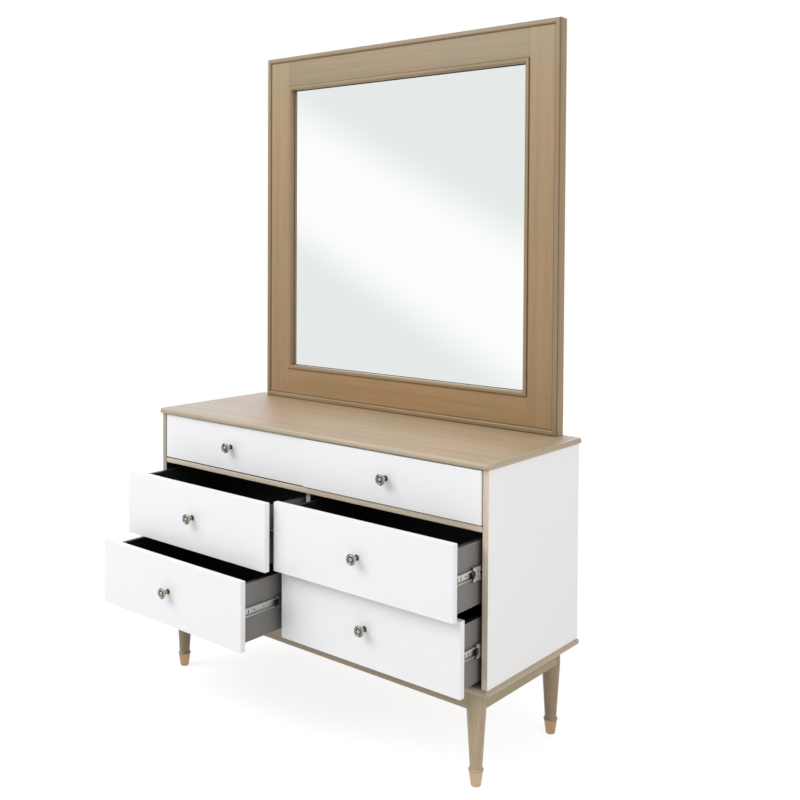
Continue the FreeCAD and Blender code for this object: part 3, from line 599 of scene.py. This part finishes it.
def rolled(height, depth):
    """The outline of a rolled channel with its web on the left, evenly thick round its bends."""
    half, reach = height / 2, BEND + GAUGE
    turns = [(depth - reach, half - reach, 0), (reach, half - reach, 90),
             (reach, reach - half, 180), (depth - reach, reach - half, 270)]
    outer, inner = [[(x + u, z + v) for x, z, first in turns
                     for u, v in arc(radius, first, first + 90, BEND_STEPS)]
                    for radius in (reach, BEND)]
    low_lip = [(depth, LIP - half), (depth - GAUGE, LIP - half)]
    high_lip = [(depth - GAUGE, half - LIP), (depth, half - LIP)]
    return outer + low_lip + inner[::-1] + high_lip


def drawn(outline, length):
    """A straight length of a section along Y."""
    return skin([[(x, y, z) for x, z in outline] for y in (0, length)])


def punch(start, length, rise, height):
    """A punch for an opening with round ends in a web."""
    end = min(length, height) / 2
    corners = [(length - end, height - end, 0), (end, height - end, 90), (end, end, 180),
               (length - end, end, 270)]
    outline = [(start + y + u, rise - height / 2 + z + v) for y, z, first in corners
               for u, v in arc(end * PUNCH_ROUND, first, first + 90, PUNCH_STEPS)]
    return skin([[(x, y, z) for y, z in outline] for x in (-PUNCH_REACH, PUNCH_REACH)])


def punched(form, openings):
    """A form with openings punched through its web."""
    blank = build("blank", form, [])
    for opening in openings:
        tool = build("punch", punch(*[size * MM for size in opening]), [])
        cut = blank.modifiers.new("punch", "BOOLEAN")
        cut.object, cut.operation, cut.solver = tool, "DIFFERENCE", "EXACT"
        settle(blank)
        bpy.data.objects.remove(tool)
    made = bmesh.new()
    made.from_mesh(blank.data)
    bmesh.ops.remove_doubles(made, verts=made.verts, dist=WELD)
    bpy.data.objects.remove(blank)
    return made


def cage(race, depth):
    """A ball cage: a thin web with a flange through each row of balls."""
    half = race + CAGE_GAUGE / 2
    near = half - CAGE_GAUGE
    outline = [(0, -half), (depth, -half), (depth, -near), (CAGE_GAUGE, -near),
               (CAGE_GAUGE, near), (depth, near), (depth, half), (0, half)]
    return drawn(outline, CAGE_LENGTH)


def placed(form, hand, place):
    """A copy of a form turned to a side and moved to its place."""
    made = form.copy()
    made.transform(Matrix.Translation(place) @ Matrix.Diagonal((hand, 1, 1, 1)))
    if hand < 0:
        bmesh.ops.reverse_faces(made, faces=made.faces)
    return made


def joined(forms):
    """Several forms in one."""
    whole = bmesh.new()
    for form in forms:
        part = bpy.data.meshes.new("part")
        form.to_mesh(part)
        whole.from_mesh(part)
        bpy.data.meshes.remove(part)
        form.free()
    return whole


def pan_head(axis, at):
    """A pan-headed screw's head, looking along an axis."""
    return turned(in_metres(SCREW_HEAD), SCREW_SIDES, axis, at)


def ball(x, y, z):
    """A bearing ball of few faces."""
    form = bmesh.new()
    bmesh.ops.create_uvsphere(form, u_segments=8, v_segments=6, radius=BALL_RADIUS,
                              matrix=Matrix.Translation((x, y, z)))
    return form


bays = [f"{row}_{side}" for row in ("bottom", "middle", "top") for side in ("left", "right")]
outer_low, outer_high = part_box("slide_outer_members")
inner_low, inner_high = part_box(bays[0] + "_slide_inners")
slide_length = outer_high.y - outer_low.y
middle_length = slide_length - 2 * MIDDLE_MARGIN
inner_height = inner_high.z - inner_low.z
middle_height = inner_height + 2 * (GAUGE + RACE_GAP)
outer_height = middle_height + 2 * (GAUGE + RACE_GAP)
outer_race = (middle_height + RACE_GAP) / 2
inner_race = (inner_height + RACE_GAP) / 2
bay_walls = {"left": (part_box("left_side_panel")[1].x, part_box("centre_divider")[0].x),
             "right": (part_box("centre_divider")[1].x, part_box("right_side_panel")[0].x)}

inner_form = punched(drawn(rolled(inner_height, INNER_DEPTH), slide_length), INNER_OPENINGS)
middle_form = punched(drawn(rolled(middle_height, MIDDLE_DEPTH), middle_length), MIDDLE_OPENINGS)
outer_form = drawn(rolled(outer_height, OUTER_DEPTH), slide_length)
outer_cage = cage(outer_race, OUTER_DEPTH - GAUGE - OUTER_CAGE_SEAT - CAGE_PLAY)
inner_cage = cage(inner_race, MIDDLE_DEPTH - 2 * GAUGE - CAGE_PLAY)
first_ball = (CAGE_LENGTH - BALL_PITCH * (BALLS - 1)) / 2
outer_members = []

for name in bays:
    low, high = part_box(name + "_slide_inners")
    middle_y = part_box(name + "_slide_middles")[0].y
    centre_z = (low.z + high.z) / 2
    near_y = middle_y + INNER_CAGE_INSET
    far_y = middle_y + middle_length - CAGE_LENGTH - OUTER_CAGE_INSET
    inners, middles, cages, balls, heads = [], [], [], [], []
    for hand, wall in zip((1, -1), bay_walls[name.split("_")[1]]):
        drawer_side = wall + hand * SLIDE_SPACE
        middle_seat = wall + hand * MIDDLE_OFFSET
        outer_seat = wall + hand * OUTER_CAGE_SEAT
        inner_seat = middle_seat + hand * (GAUGE + INNER_CAGE_SEAT)
        outer_members.append(placed(outer_form, hand, (wall, outer_low.y, centre_z)))
        inners.append(placed(inner_form, -hand, (drawer_side, low.y, centre_z)))
        middles.append(placed(middle_form, hand, (middle_seat, middle_y, centre_z)))
        cages.append(placed(outer_cage, hand, (outer_seat, far_y, centre_z)))
        cages.append(placed(inner_cage, hand, (inner_seat, near_y, centre_z)))
        outer_ball = outer_seat + hand * (OUTER_DEPTH / 2 - CAGE_PLAY)
        inner_ball = inner_seat + hand * (BALL_RADIUS + CAGE_GAUGE)
        for level in (-1, 1):
            balls.append(ball(outer_ball, far_y + first_ball, centre_z + level * outer_race))
            balls.append(ball(inner_ball, near_y + first_ball, centre_z + level * inner_race))
        screw_place = (drawer_side - hand * GAUGE, low.y + FIRST_SCREW, centre_z)
        heads.append(pan_head((-hand, 0, 0), screw_place))
    fix(build(name + "_inner_members", joined(inners), [zinc]), name + "_drawer", "zinc_steel",
        name + "_slide_inners")
    fix(build(name + "_middle_members", joined(middles), [zinc]), name + "_slide", "zinc_steel",
        name + "_slide_middles")
    fix(build(name + "_ball_cages", joined(cages), [cage_plastic]), name + "_slide",
        "zinc_steel")
    fix(set_out(name + "_balls", joined(balls), ball_steel, (BALLS, (0, BALL_PITCH, 0))),
        name + "_slide", "zinc_steel")
    fix(set_out(name + "_slide_screws", joined(heads), zinc, (SCREWS, (0, SCREW_PITCH, 0))),
        name + "_drawer", "zinc_steel")
fix(build("outer_members", joined(outer_members), [zinc]), "carcass", "zinc_steel",
    "slide_outer_members")


# Drawers
# Each front is a white lacquered board with rounded edges. The box behind it has grey foil
# outside and black foil inside, and its floor lies in grooves.

BOX_WALL = 12 * MM
FRONT_ROUND = 1.1 * MM
FOIL_ROUND = 0.5 * MM
FLOOR_EASE = 0.3 * MM
BUTT_GAP = 0.05 * MM
GREY_FOIL = "787572"

# printed grey foil, smooth and a little warm, wrapped over the boards' edges
grey_foil = pressed_sheet("grey_foil", GREY_FOIL, FIBRE_WIDTH, contrast=0.05, Roughness=0.5)


def rounded_boards(boxes, radius, steps=3):
    """Boards between pairs of corners, with rounded edges."""
    form = bmesh.new()
    for low, high in boxes:
        low, high = Vector(low), Vector(high)
        corners = bmesh.ops.create_cube(form, size=1)["verts"]
        move = Matrix.Translation((low + high) / 2) @ Matrix.Diagonal((*(high - low), 1))
        bmesh.ops.transform(form, matrix=move, verts=corners)
    bmesh.ops.bevel(form, geom=form.edges[:], offset=radius, segments=steps, profile=0.5,
                    affect="EDGES")
    return form


for name in bays:
    front = rounded_boards([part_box(name + "_drawer_front")], FRONT_ROUND)
    fix(build(name + "_front_board", front, [lacquer]), name + "_drawer", "white_lacquer",
        name + "_drawer_front")

    low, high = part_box(name + "_drawer_walls")
    left, right, back = low.x + BOX_WALL, high.x - BOX_WALL, high.y - BOX_WALL
    box = rounded_boards([(low, (left, high.y, high.z)), ((right, low.y, low.z), high),
                          ((left + BUTT_GAP, back, low.z), (right - BUTT_GAP, high.y, high.z))],
                         FOIL_ROUND, 2)
    paint(box, lambda normal, at: normal.z > FACING
          or left - MM < at.x < right + MM and at.y < back + MM, 1)
    fix(build(name + "_box_walls", box, [grey_foil, black_foil]), name + "_drawer", "grey_foil",
        name + "_drawer_walls")
    fix(build(name + "_box_floor", eased(name + "_drawer_bottom", FLOOR_EASE), [black_foil]),
        name + "_drawer", "dark_board", name + "_drawer_bottom")


# Knobs
# Turned and plated in antiqued nickel: a round foot, a thick waisted neck and a dished head with
# a rounded rim, an inner ring and a button. A machine screw from inside the drawer holds each.

KNOB_SIDES = 56
KNOB_CORNER = 60
NICKEL = "B0ABA2"
PATINA = "423F3A"
# real tool marks are finer than a pixel: drawn coarser, they break the shine
TURNING_WIDTH = 0.9 * MM
KNOB_GROOVES = ((10.7 * MM, 12.4 * MM), (5.2 * MM, 8.4 * MM))
KNOB_FOOT_REACH = 0.4 * MM
# the knob as radius and reach in millimetres, from its foot to the middle of its button
KNOB_OUTLINE = (
    (6.8, 0), (7.4, 0.5), (7.5, 1.4), (7.2, 2.2), (6.3, 2.8), (6.0, 4), (5.9, 7), (6.1, 10),
    (6.8, 13), (8.4, 15.6), (10.6, 17.4), (12.8, 18.6), (14.1, 19.8), (14.8, 21.2), (14.9, 22.2),
    (14.5, 23.2), (13.8, 23.8), (13.0, 23.8), (12.4, 23.3), (12.0, 22.7), (11.5, 22.4),
    (11.0, 22.7), (10.6, 23.3), (9.9, 23.8), (9.1, 23.8), (8.5, 23.2), (8.0, 22.6), (6.4, 22.4),
    (5.4, 22.8), (5.1, 23.8), (4.4, 24.8), (3.2, 25.4), (1.6, 25.8), (0.3, 25.9))

# plated nickel, rubbed bright on its rims
nickel = bare_metal("antiqued_nickel", NICKEL, TURNING_WIDTH, roughness=0.24)
# the same plating where the dark antiquing stays in the grooves
patina = bare_metal("nickel_in_grooves", PATINA, TURNING_WIDTH, roughness=0.4)

for name in bays:
    low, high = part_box(name + "_knob")
    foot = Vector(((low.x + high.x) / 2, high.y, (low.z + high.z) / 2))
    knob = turned(in_metres(KNOB_OUTLINE), KNOB_SIDES, (0, -1, 0), foot)

    def in_groove(normal, at):
        """Whether a face lies in a groove of the head, or against the drawer's front."""
        radius, reach = math.hypot(at.x - foot.x, at.z - foot.z), foot.y - at.y
        return reach < KNOB_FOOT_REACH or normal.y < 0 and any(
            near < radius < far for near, far in KNOB_GROOVES)

    paint(knob, in_groove, 1)
    fix(build(name + "_turned_knob", knob, [nickel, patina], KNOB_CORNER),
        name + "_drawer", "gunmetal", name + "_knob")
    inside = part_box(name + "_drawer_front")[1].y
    fix(build(name + "_knob_screw", pan_head((0, 1, 0), (foot.x, inside, foot.z)), [zinc]),
        name + "_drawer", "zinc_steel")


# Mirror frame
# Two stiles and two rails of solid ash. A rounded bead is mitred round the outside, and a
# smaller one inside holds the glass; both stand proud of a narrow quirk.

FRAME_TONES = {"Z": ("A08963", "957D5A"), "X": ("95805E", "8A7556")}
FRAME_BOUNCE_TONES = {"Z": ("9F825C", "947652"), "X": ("A2825A", "967750")}
FRAME_EASE = 0.6 * MM
BEAD_TONES = ("967E5D", "887150")
PAINTED_SHADE_TONES = ("664F31", "5A4529")
SHADE_BAND_WIDTH = 3.6 * MM
SHADE_BAND_SHARE = 0.65
SHADED_SIDE = 0.8
MITRE_GAP = 0.08 * MM
OUTER_WIDTH, OUTER_BEAD_DEPTH, OUTER_ROUND = 15 * MM, 14 * MM, 5 * MM
INNER_WIDTH, INNER_BEAD_DEPTH, INNER_ROUND = 13 * MM, 16 * MM, 6 * MM
SMALL_ROUND = 3 * MM
STEP = 0.1 * MM
QUIRK = 3.2 * MM
OUTER_QUIRK_DEPTHS = (4.5 * MM, 8.5 * MM)
INNER_QUIRK_DEPTHS = (3.6 * MM, 7.6 * MM)

# solid ash with a browner wash than the frame's, so the beads read as lines round it
bead_ash = [washed_ash("washed_ash_beads_along_" + along, along, BEAD_TONES) for along in "XZ"]
# painted shade: a dark brown ash in the quirks and on the beads' sides
bead_quirk_shade = washed_ash("shaded_ash_quirks", "Z", PAINTED_SHADE_TONES)


def paint_shade_along(made, low, high):
    """Paint shade, a brown band, into a wood along the edge of an upright rectangle."""
    tree = made.node_tree
    shader = tree.nodes["Principled BSDF"]
    place = add(tree, "ShaderNodeTexCoord").outputs["Object"]
    half, middle = (high - low) / 2, (high + low) / 2
    from_middle = add(tree, "ShaderNodeVectorMath", {0: place, 1: middle}, operation="SUBTRACT")
    out = add(tree, "ShaderNodeVectorMath", {0: from_middle}, operation="ABSOLUTE")
    past = add(tree, "ShaderNodeVectorMath", {0: out, 1: half}, operation="SUBTRACT")
    parts = add(tree, "ShaderNodeSeparateXYZ", {"Vector": past}).outputs
    edge = add(tree, "ShaderNodeMath", {0: parts["X"], 1: parts["Z"]}, operation="MAXIMUM")
    distance = add(tree, "ShaderNodeMath", {0: edge}, operation="ABSOLUTE")
    share = add(tree, "ShaderNodeMapRange",
                {"Value": distance, "From Min": SHADE_BAND_WIDTH / 2, "From Max": SHADE_BAND_WIDTH,
                 "To Min": 1 - SHADE_BAND_SHARE}, interpolation_type="SMOOTHSTEP")
    washed = shader.inputs["Base Color"].links[0].from_socket
    shaded = add(tree, "ShaderNodeMix", {"Factor": share, 6: linear(PAINTED_SHADE_TONES[0]), 7: washed},
                  data_type="RGBA")
    feed(shader, {"Base Color": shaded})


edge_low, edge_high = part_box("mirror_outer_bead")
bead_low, bead_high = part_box("mirror_inner_bead")
bead_face = Vector((OUTER_WIDTH, 0, OUTER_WIDTH))
for node, along in (("mirror_stiles", "Z"), ("mirror_rails", "X")):
    # solid ash, deeper and warmer near the tabletop: painted bounce light; painted shade by beads
    wood = washed_ash("washed_ash_" + node, along, FRAME_TONES[along], FRAME_BOUNCE_TONES[along])
    paint_shade_along(wood, edge_low + bead_face, edge_high - bead_face)
    paint_shade_along(wood, bead_low, bead_high)
    fix(build(node + "_planed", eased(node, FRAME_EASE), [wood]), "carcass", "washed_wood", node)


def rounded_front(width, first, last):
    """The front of a bead: a round on its outer corner, painted shade on its side, and on its
    inner.
    """
    outer = [(first + x, first + y, x < -SHADED_SIDE * first) for x, y in arc(first, 180, 270)]
    return outer + [(width - last + x, last + y, 0) for x, y in arc(last, 270, 360)]


def mitred_ring(low, high, section):
    """Four sticks of a moulding round an upright rectangle, level ones first and upright second.

    The section's points are (in from the outer edge, depth behind the front, shaded), where
    shaded tells that the face from that point to the next gets the painted shade.
    """
    corners = [(low.x, low.z, 1, 1), (high.x, low.z, -1, 1), (high.x, high.z, -1, -1),
               (low.x, high.z, 1, -1)]
    sticks = []
    for number, first in enumerate(corners):
        last = corners[(number + 1) % 4]
        gap = Vector((last[0] - first[0], 0, last[1] - first[1])).normalized() * MITRE_GAP
        loops = []
        for (x, z, toward_x, toward_z), back in ((first, gap), (last, -gap)):
            loops.append([(x + toward_x * across + back.x, low.y + depth,
                           z + toward_z * across + back.z) for across, depth, _ in section])
        stick = skin(loops)
        finishes = [2 if shaded else number % 2 for _, _, shaded in section]
        for face, finish in zip(stick.faces, [*finishes, 0, 0]):
            face.material_index = finish
        sticks.append(stick)
    return joined(sticks)


# a third entry of 1 marks a quirk face or bead side that gets painted shade
near, far = OUTER_QUIRK_DEPTHS
outer_section = [(0, OUTER_BEAD_DEPTH, 0), *rounded_front(OUTER_WIDTH, OUTER_ROUND, near),
                 (OUTER_WIDTH, near + STEP, 1), (OUTER_WIDTH - QUIRK, near + STEP, 1),
                 (OUTER_WIDTH - QUIRK, far, 1), (OUTER_WIDTH, far, 0),
                 (OUTER_WIDTH, OUTER_BEAD_DEPTH, 0)]
outer_bead = mitred_ring(edge_low, edge_high, outer_section)
fix(build("outer_bead_sticks", outer_bead, [*bead_ash, bead_quirk_shade]), "carcass", "washed_wood",
    "mirror_outer_bead")

near, far = INNER_QUIRK_DEPTHS
inner_section = [(0, INNER_BEAD_DEPTH, 0), (0, far, 1), (QUIRK, far, 1), (QUIRK, near, 1),
                 (0, near, 0), *rounded_front(INNER_WIDTH, SMALL_ROUND, INNER_ROUND),
                 (INNER_WIDTH, INNER_ROUND + STEP, 0), (INNER_WIDTH, INNER_BEAD_DEPTH, 0)]
inner_bead = mitred_ring(bead_low, bead_high, inner_section)
fix(build("inner_bead_sticks", inner_bead, [*bead_ash, bead_quirk_shade]), "carcass", "washed_wood",
    "mirror_inner_bead")


# Glass, backing and battens
# Silvered float glass with an unsilvered rim lies behind the bead. A hardboard sheet is held
# behind it by small points, and two pine battens are screwed to the frame and to the carcass.

GLASS_EDGE = 0.4 * MM
RIM_SHOWN = 2.1 * MM
PLATE_DROP = 0.7 * MM
SILVER = "F6F8F7"
REBATE_SHADE_TONE = "252B27"
SHEET_EASE = 0.3 * MM
POINT = Vector((14, 1, 5)) * MM
POINT_INSET = 3 * POINT.x
POINTS = (6, 2)
PINE_TONES = ("C4A474", "B8935F")
BATTEN_WIDTH = 45 * MM
BATTEN_ROUND = 1.5 * MM
BATTEN_SCREWS = (2, 5)
# the countersunk screw's head stands just proud of the batten; radius and reach in millimetres
BATTEN_SCREW_HEAD = ((4.2, -0.2), (4.2, 0.2), (2.4, 0.7), (1.5, 0.75), (1.2, 0.3), (0.2, 0.1))
HEAD_ROOM = 0.9 * MM

# silver behind clear glass: as smooth as the glass, with its faint green
silver = finish_of("silvered_glass", Metallic=1.0, Roughness=0.012, Base_Color=linear(SILVER))[0]
# the rim where the silvering stops, dark as painted shade for the unlit rebate behind
shaded_rim = pressed_sheet("unsilvered_rim_shaded", REBATE_SHADE_TONE, FIBRE_WIDTH, contrast=0.06, depth=RIPPLE_DEPTH,
                    Roughness=0.08)
# planed pine, yellow, with a straight grain
pine = washed_ash("planed_pine", "Z", PINE_TONES)

glass_low, glass_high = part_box("mirror_glass")
plate = rounded_boards([(glass_low, glass_high)], GLASS_EDGE, 1)
plate.normal_update()
face = min(plate.faces, key=lambda side: side.normal.y * side.calc_area())
shown = bead_low.x + INNER_WIDTH + RIM_SHOWN - glass_low.x - GLASS_EDGE
for part in bmesh.ops.inset_region(plate, faces=[face], thickness=shown,
                                   use_even_offset=True)["faces"]:
    part.material_index = 1
# the plate rests on the lower stick, so less of its rim shows there
for point in face.verts:
    point.co.z -= PLATE_DROP
fix(build("silvered_plate", plate, [silver, shaded_rim]), "carcass", "mirror_glass", "mirror_glass")

fix(build("backing_sheet", eased("mirror_backing", SHEET_EASE), [hardboard]), "carcass",
    "back_board", "mirror_backing")
low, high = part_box("mirror_backing")
first_point = Vector((low.x + POINT_INSET, high.y, low.z))
last_point = Vector((high.x - POINT_INSET - POINT.x, high.y, high.z - POINT.z))
point = rounded_boards([(first_point, first_point + POINT)], SHEET_EASE, 1)
points = set_out("backing_points", point, zinc, *spaced(first_point, last_point, *POINTS))
fix(points, "carcass", "zinc_steel")

low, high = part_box("mirror_supports")
back = high.y - HEAD_ROOM
battens = rounded_boards([(low, (low.x + BATTEN_WIDTH, back, high.z)),
                          ((high.x - BATTEN_WIDTH, low.y, low.z), (high.x, back, high.z))],
                         BATTEN_ROUND)
fix(build("wall_battens", battens, [pine]), "carcass", "batten_wood", "mirror_supports")
screw_inset = 2 * BATTEN_WIDTH / 3
first_screw = Vector((low.x + BATTEN_WIDTH / 2, back, low.z + screw_inset))
last_screw = Vector((high.x - BATTEN_WIDTH / 2, back, high.z - screw_inset))
screw = turned(in_metres(BATTEN_SCREW_HEAD), SCREW_SIDES, (0, 1, 0), first_screw)
screws = set_out("batten_screws", screw, zinc, *spaced(first_screw, last_screw, *BATTEN_SCREWS))
fix(screws, "carcass", "zinc_steel")


# Studio
# A white floor and air, a wide softbox high at the front left and a weaker warm one on the
# right, seen by the camera that the photograph's edges give.

CAMERA_PLACE = (1.9462, -2.188, 1.3148)
CAMERA_YAW = 0.685
CAMERA_PITCH = -0.026
CAMERA_ROLL = 0.006
PICTURE_WIDTH = 800
FOCAL_PIXELS = 1033.56
CENTRE_ROW = 263.9
SENSOR_WIDTH = 36
KEY_COLOUR = "FAFCFF"
SIDE_COLOUR = "FFFBF4"

camera_data = bpy.data.cameras.new("photo_camera")
camera_data.sensor_width = SENSOR_WIDTH
camera_data.lens = FOCAL_PIXELS / PICTURE_WIDTH * SENSOR_WIDTH
camera_data.shift_y = (CENTRE_ROW - PICTURE_WIDTH / 2) / PICTURE_WIDTH
ahead = Vector((-math.sin(CAMERA_YAW) * math.cos(CAMERA_PITCH),
                math.cos(CAMERA_YAW) * math.cos(CAMERA_PITCH), math.sin(CAMERA_PITCH)))
level = Vector((math.cos(CAMERA_YAW), math.sin(CAMERA_YAW), 0))
right = level * math.cos(CAMERA_ROLL) + level.cross(ahead) * math.sin(CAMERA_ROLL)
camera = bpy.data.objects.new("photo_camera", camera_data)
turn = Matrix((right, right.cross(ahead), -ahead)).transposed().to_4x4()
camera.matrix_world = Matrix.Translation(CAMERA_PLACE) @ turn
bpy.context.scene.collection.objects.link(camera)
bpy.context.scene.camera = camera


def soft_lamp(name, place, target, size, power, code):
    """A softbox, so wide and so high, that faces a point."""
    data = bpy.data.lights.new(name, "AREA")
    data.shape, data.energy, data.color = "RECTANGLE", power, linear(code)[:3]
    data.size, data.size_y = size
    lamp = bpy.data.objects.new(name, data)
    lamp.location = place
    lamp.rotation_euler = (Vector(target) - Vector(place)).to_track_quat("-Z", "Y").to_euler()
    bpy.context.scene.collection.objects.link(lamp)


soft_lamp("key_softbox", place=(-2.2, -3.5, 3.9), target=(0, 0, 0.9), size=(4.4, 2.7), power=160,
          code=KEY_COLOUR)
soft_lamp("side_softbox", place=(3.4, -0.6, 2.0), target=(0.3, 0, 0.8), size=(2.2, 2.2),
          power=30, code=SIDE_COLOUR)

AIR = "E2E3E5"
AIR_STRENGTH = 0.85
# the lit band that the mirror shows: its slope, place, half width, fade and light
REFLECTED_WALL = "EEF1F0"
LEAST_REACH = 0.05
BAND_SLOPE = 0.48
BAND_PLACE = 0.393
BAND_HALF = 0.04
BAND_FADE = 0.125
BAND_COLOUR = (1.06, 1.06, 1.06, 1)
# the bright cool wall that the right side's gloss shows
BACK_WALL_WAY = (-0.73, 0.67, 0.15)
BACK_WALL_RANGE = (0.75, 0.92)
BACK_WALL_COLOUR = (2.5, 2.9, 3.5, 1)


def studio_world():
    """White to the camera, soft grey light on the object, and a lit band in its reflections."""
    world = bpy.data.worlds.new("studio")
    bpy.context.scene.world = world
    world.use_nodes = True
    tree = world.node_tree
    tree.nodes.clear()

    way = add(tree, "ShaderNodeTexCoord").outputs["Generated"]
    parts = add(tree, "ShaderNodeSeparateXYZ", {"Vector": way}).outputs
    to_front = add(tree, "ShaderNodeMath", {0: parts["Y"], 1: -1}, operation="MULTIPLY")
    reach = add(tree, "ShaderNodeMath", {0: to_front, 1: LEAST_REACH}, operation="MAXIMUM")
    across = add(tree, "ShaderNodeMath", {0: parts["X"], 1: reach}, operation="DIVIDE")
    rise = add(tree, "ShaderNodeMath", {0: parts["Z"], 1: reach}, operation="DIVIDE")
    sloped = add(tree, "ShaderNodeMath", {0: across, 1: BAND_SLOPE, 2: rise},
                 operation="MULTIPLY_ADD")
    past = add(tree, "ShaderNodeMath", {0: sloped, 1: BAND_PLACE}, operation="ADD")
    away = add(tree, "ShaderNodeMath", {0: past}, operation="ABSOLUTE")
    faded = add(tree, "ShaderNodeMapRange",
                {"Value": away, "From Min": BAND_HALF, "From Max": BAND_FADE},
                interpolation_type="SMOOTHSTEP")
    wall = add(tree, "ShaderNodeMix", {"Factor": faded, 6: BAND_COLOUR, 7: linear(REFLECTED_WALL)},
               data_type="RGBA")
    behind = add(tree, "ShaderNodeVectorMath", {0: way, 1: BACK_WALL_WAY},
                 operation="DOT_PRODUCT")
    lit = add(tree, "ShaderNodeMapRange",
              {"Value": behind, "From Min": BACK_WALL_RANGE[0], "From Max": BACK_WALL_RANGE[1]},
              interpolation_type="SMOOTHSTEP")
    wall = add(tree, "ShaderNodeMix", {"Factor": lit, 6: wall, 7: BACK_WALL_COLOUR},
               data_type="RGBA")

    path = add(tree, "ShaderNodeLightPath").outputs
    soft = add(tree, "ShaderNodeBackground", {"Color": linear(AIR), "Strength": AIR_STRENGTH})
    seen = add(tree, "ShaderNodeBackground", {"Color": wall})
    white = add(tree, "ShaderNodeBackground", {"Color": (1, 1, 1, 1)})
    mirrored = add(tree, "ShaderNodeMath",
                   {0: path["Is Glossy Ray"], 1: path["Is Transmission Ray"]},
                   operation="MAXIMUM")
    glossy = add(tree, "ShaderNodeMixShader", {0: mirrored, 1: soft, 2: seen})
    shown = add(tree, "ShaderNodeMixShader", {0: path["Is Camera Ray"], 1: glossy, 2: white})
    add(tree, "ShaderNodeOutputWorld", {"Surface": shown})


studio_world()

FLOOR_RADIUS = 4.8
FLOOR_SIDES = 96
FLOOR_GLOW = 0.8
FLOOR_PAINT = "D2D2D2"
FLOOR_SHADE = "A0A0A0"


def cove_floor():
    """A pale floor that shows as white, with the object's soft shadow."""
    form = bmesh.new()
    bmesh.ops.create_circle(form, cap_ends=True, segments=FLOOR_SIDES, radius=FLOOR_RADIUS)
    made, tree, _ = finish_of("cove_paint")
    tree.nodes.clear()
    path = add(tree, "ShaderNodeLightPath").outputs
    coat = add(tree, "ShaderNodeBsdfDiffuse", {"Color": linear(FLOOR_PAINT)})
    thin = add(tree, "ShaderNodeBsdfDiffuse", {"Color": linear(FLOOR_SHADE)})
    glow = add(tree, "ShaderNodeEmission", {"Strength": FLOOR_GLOW})
    lit = add(tree, "ShaderNodeAddShader", {0: thin, 1: glow})
    seen = add(tree, "ShaderNodeMath", {0: path["Is Camera Ray"], 1: path["Is Glossy Ray"]},
               operation="MAXIMUM")
    shown = add(tree, "ShaderNodeMixShader", {0: seen, 1: coat, 2: lit})
    add(tree, "ShaderNodeOutputMaterial", {"Surface": shown})
    build("cove_floor", form, [made])


cove_floor()
bpy.context.scene.view_settings.view_transform = "Standard"
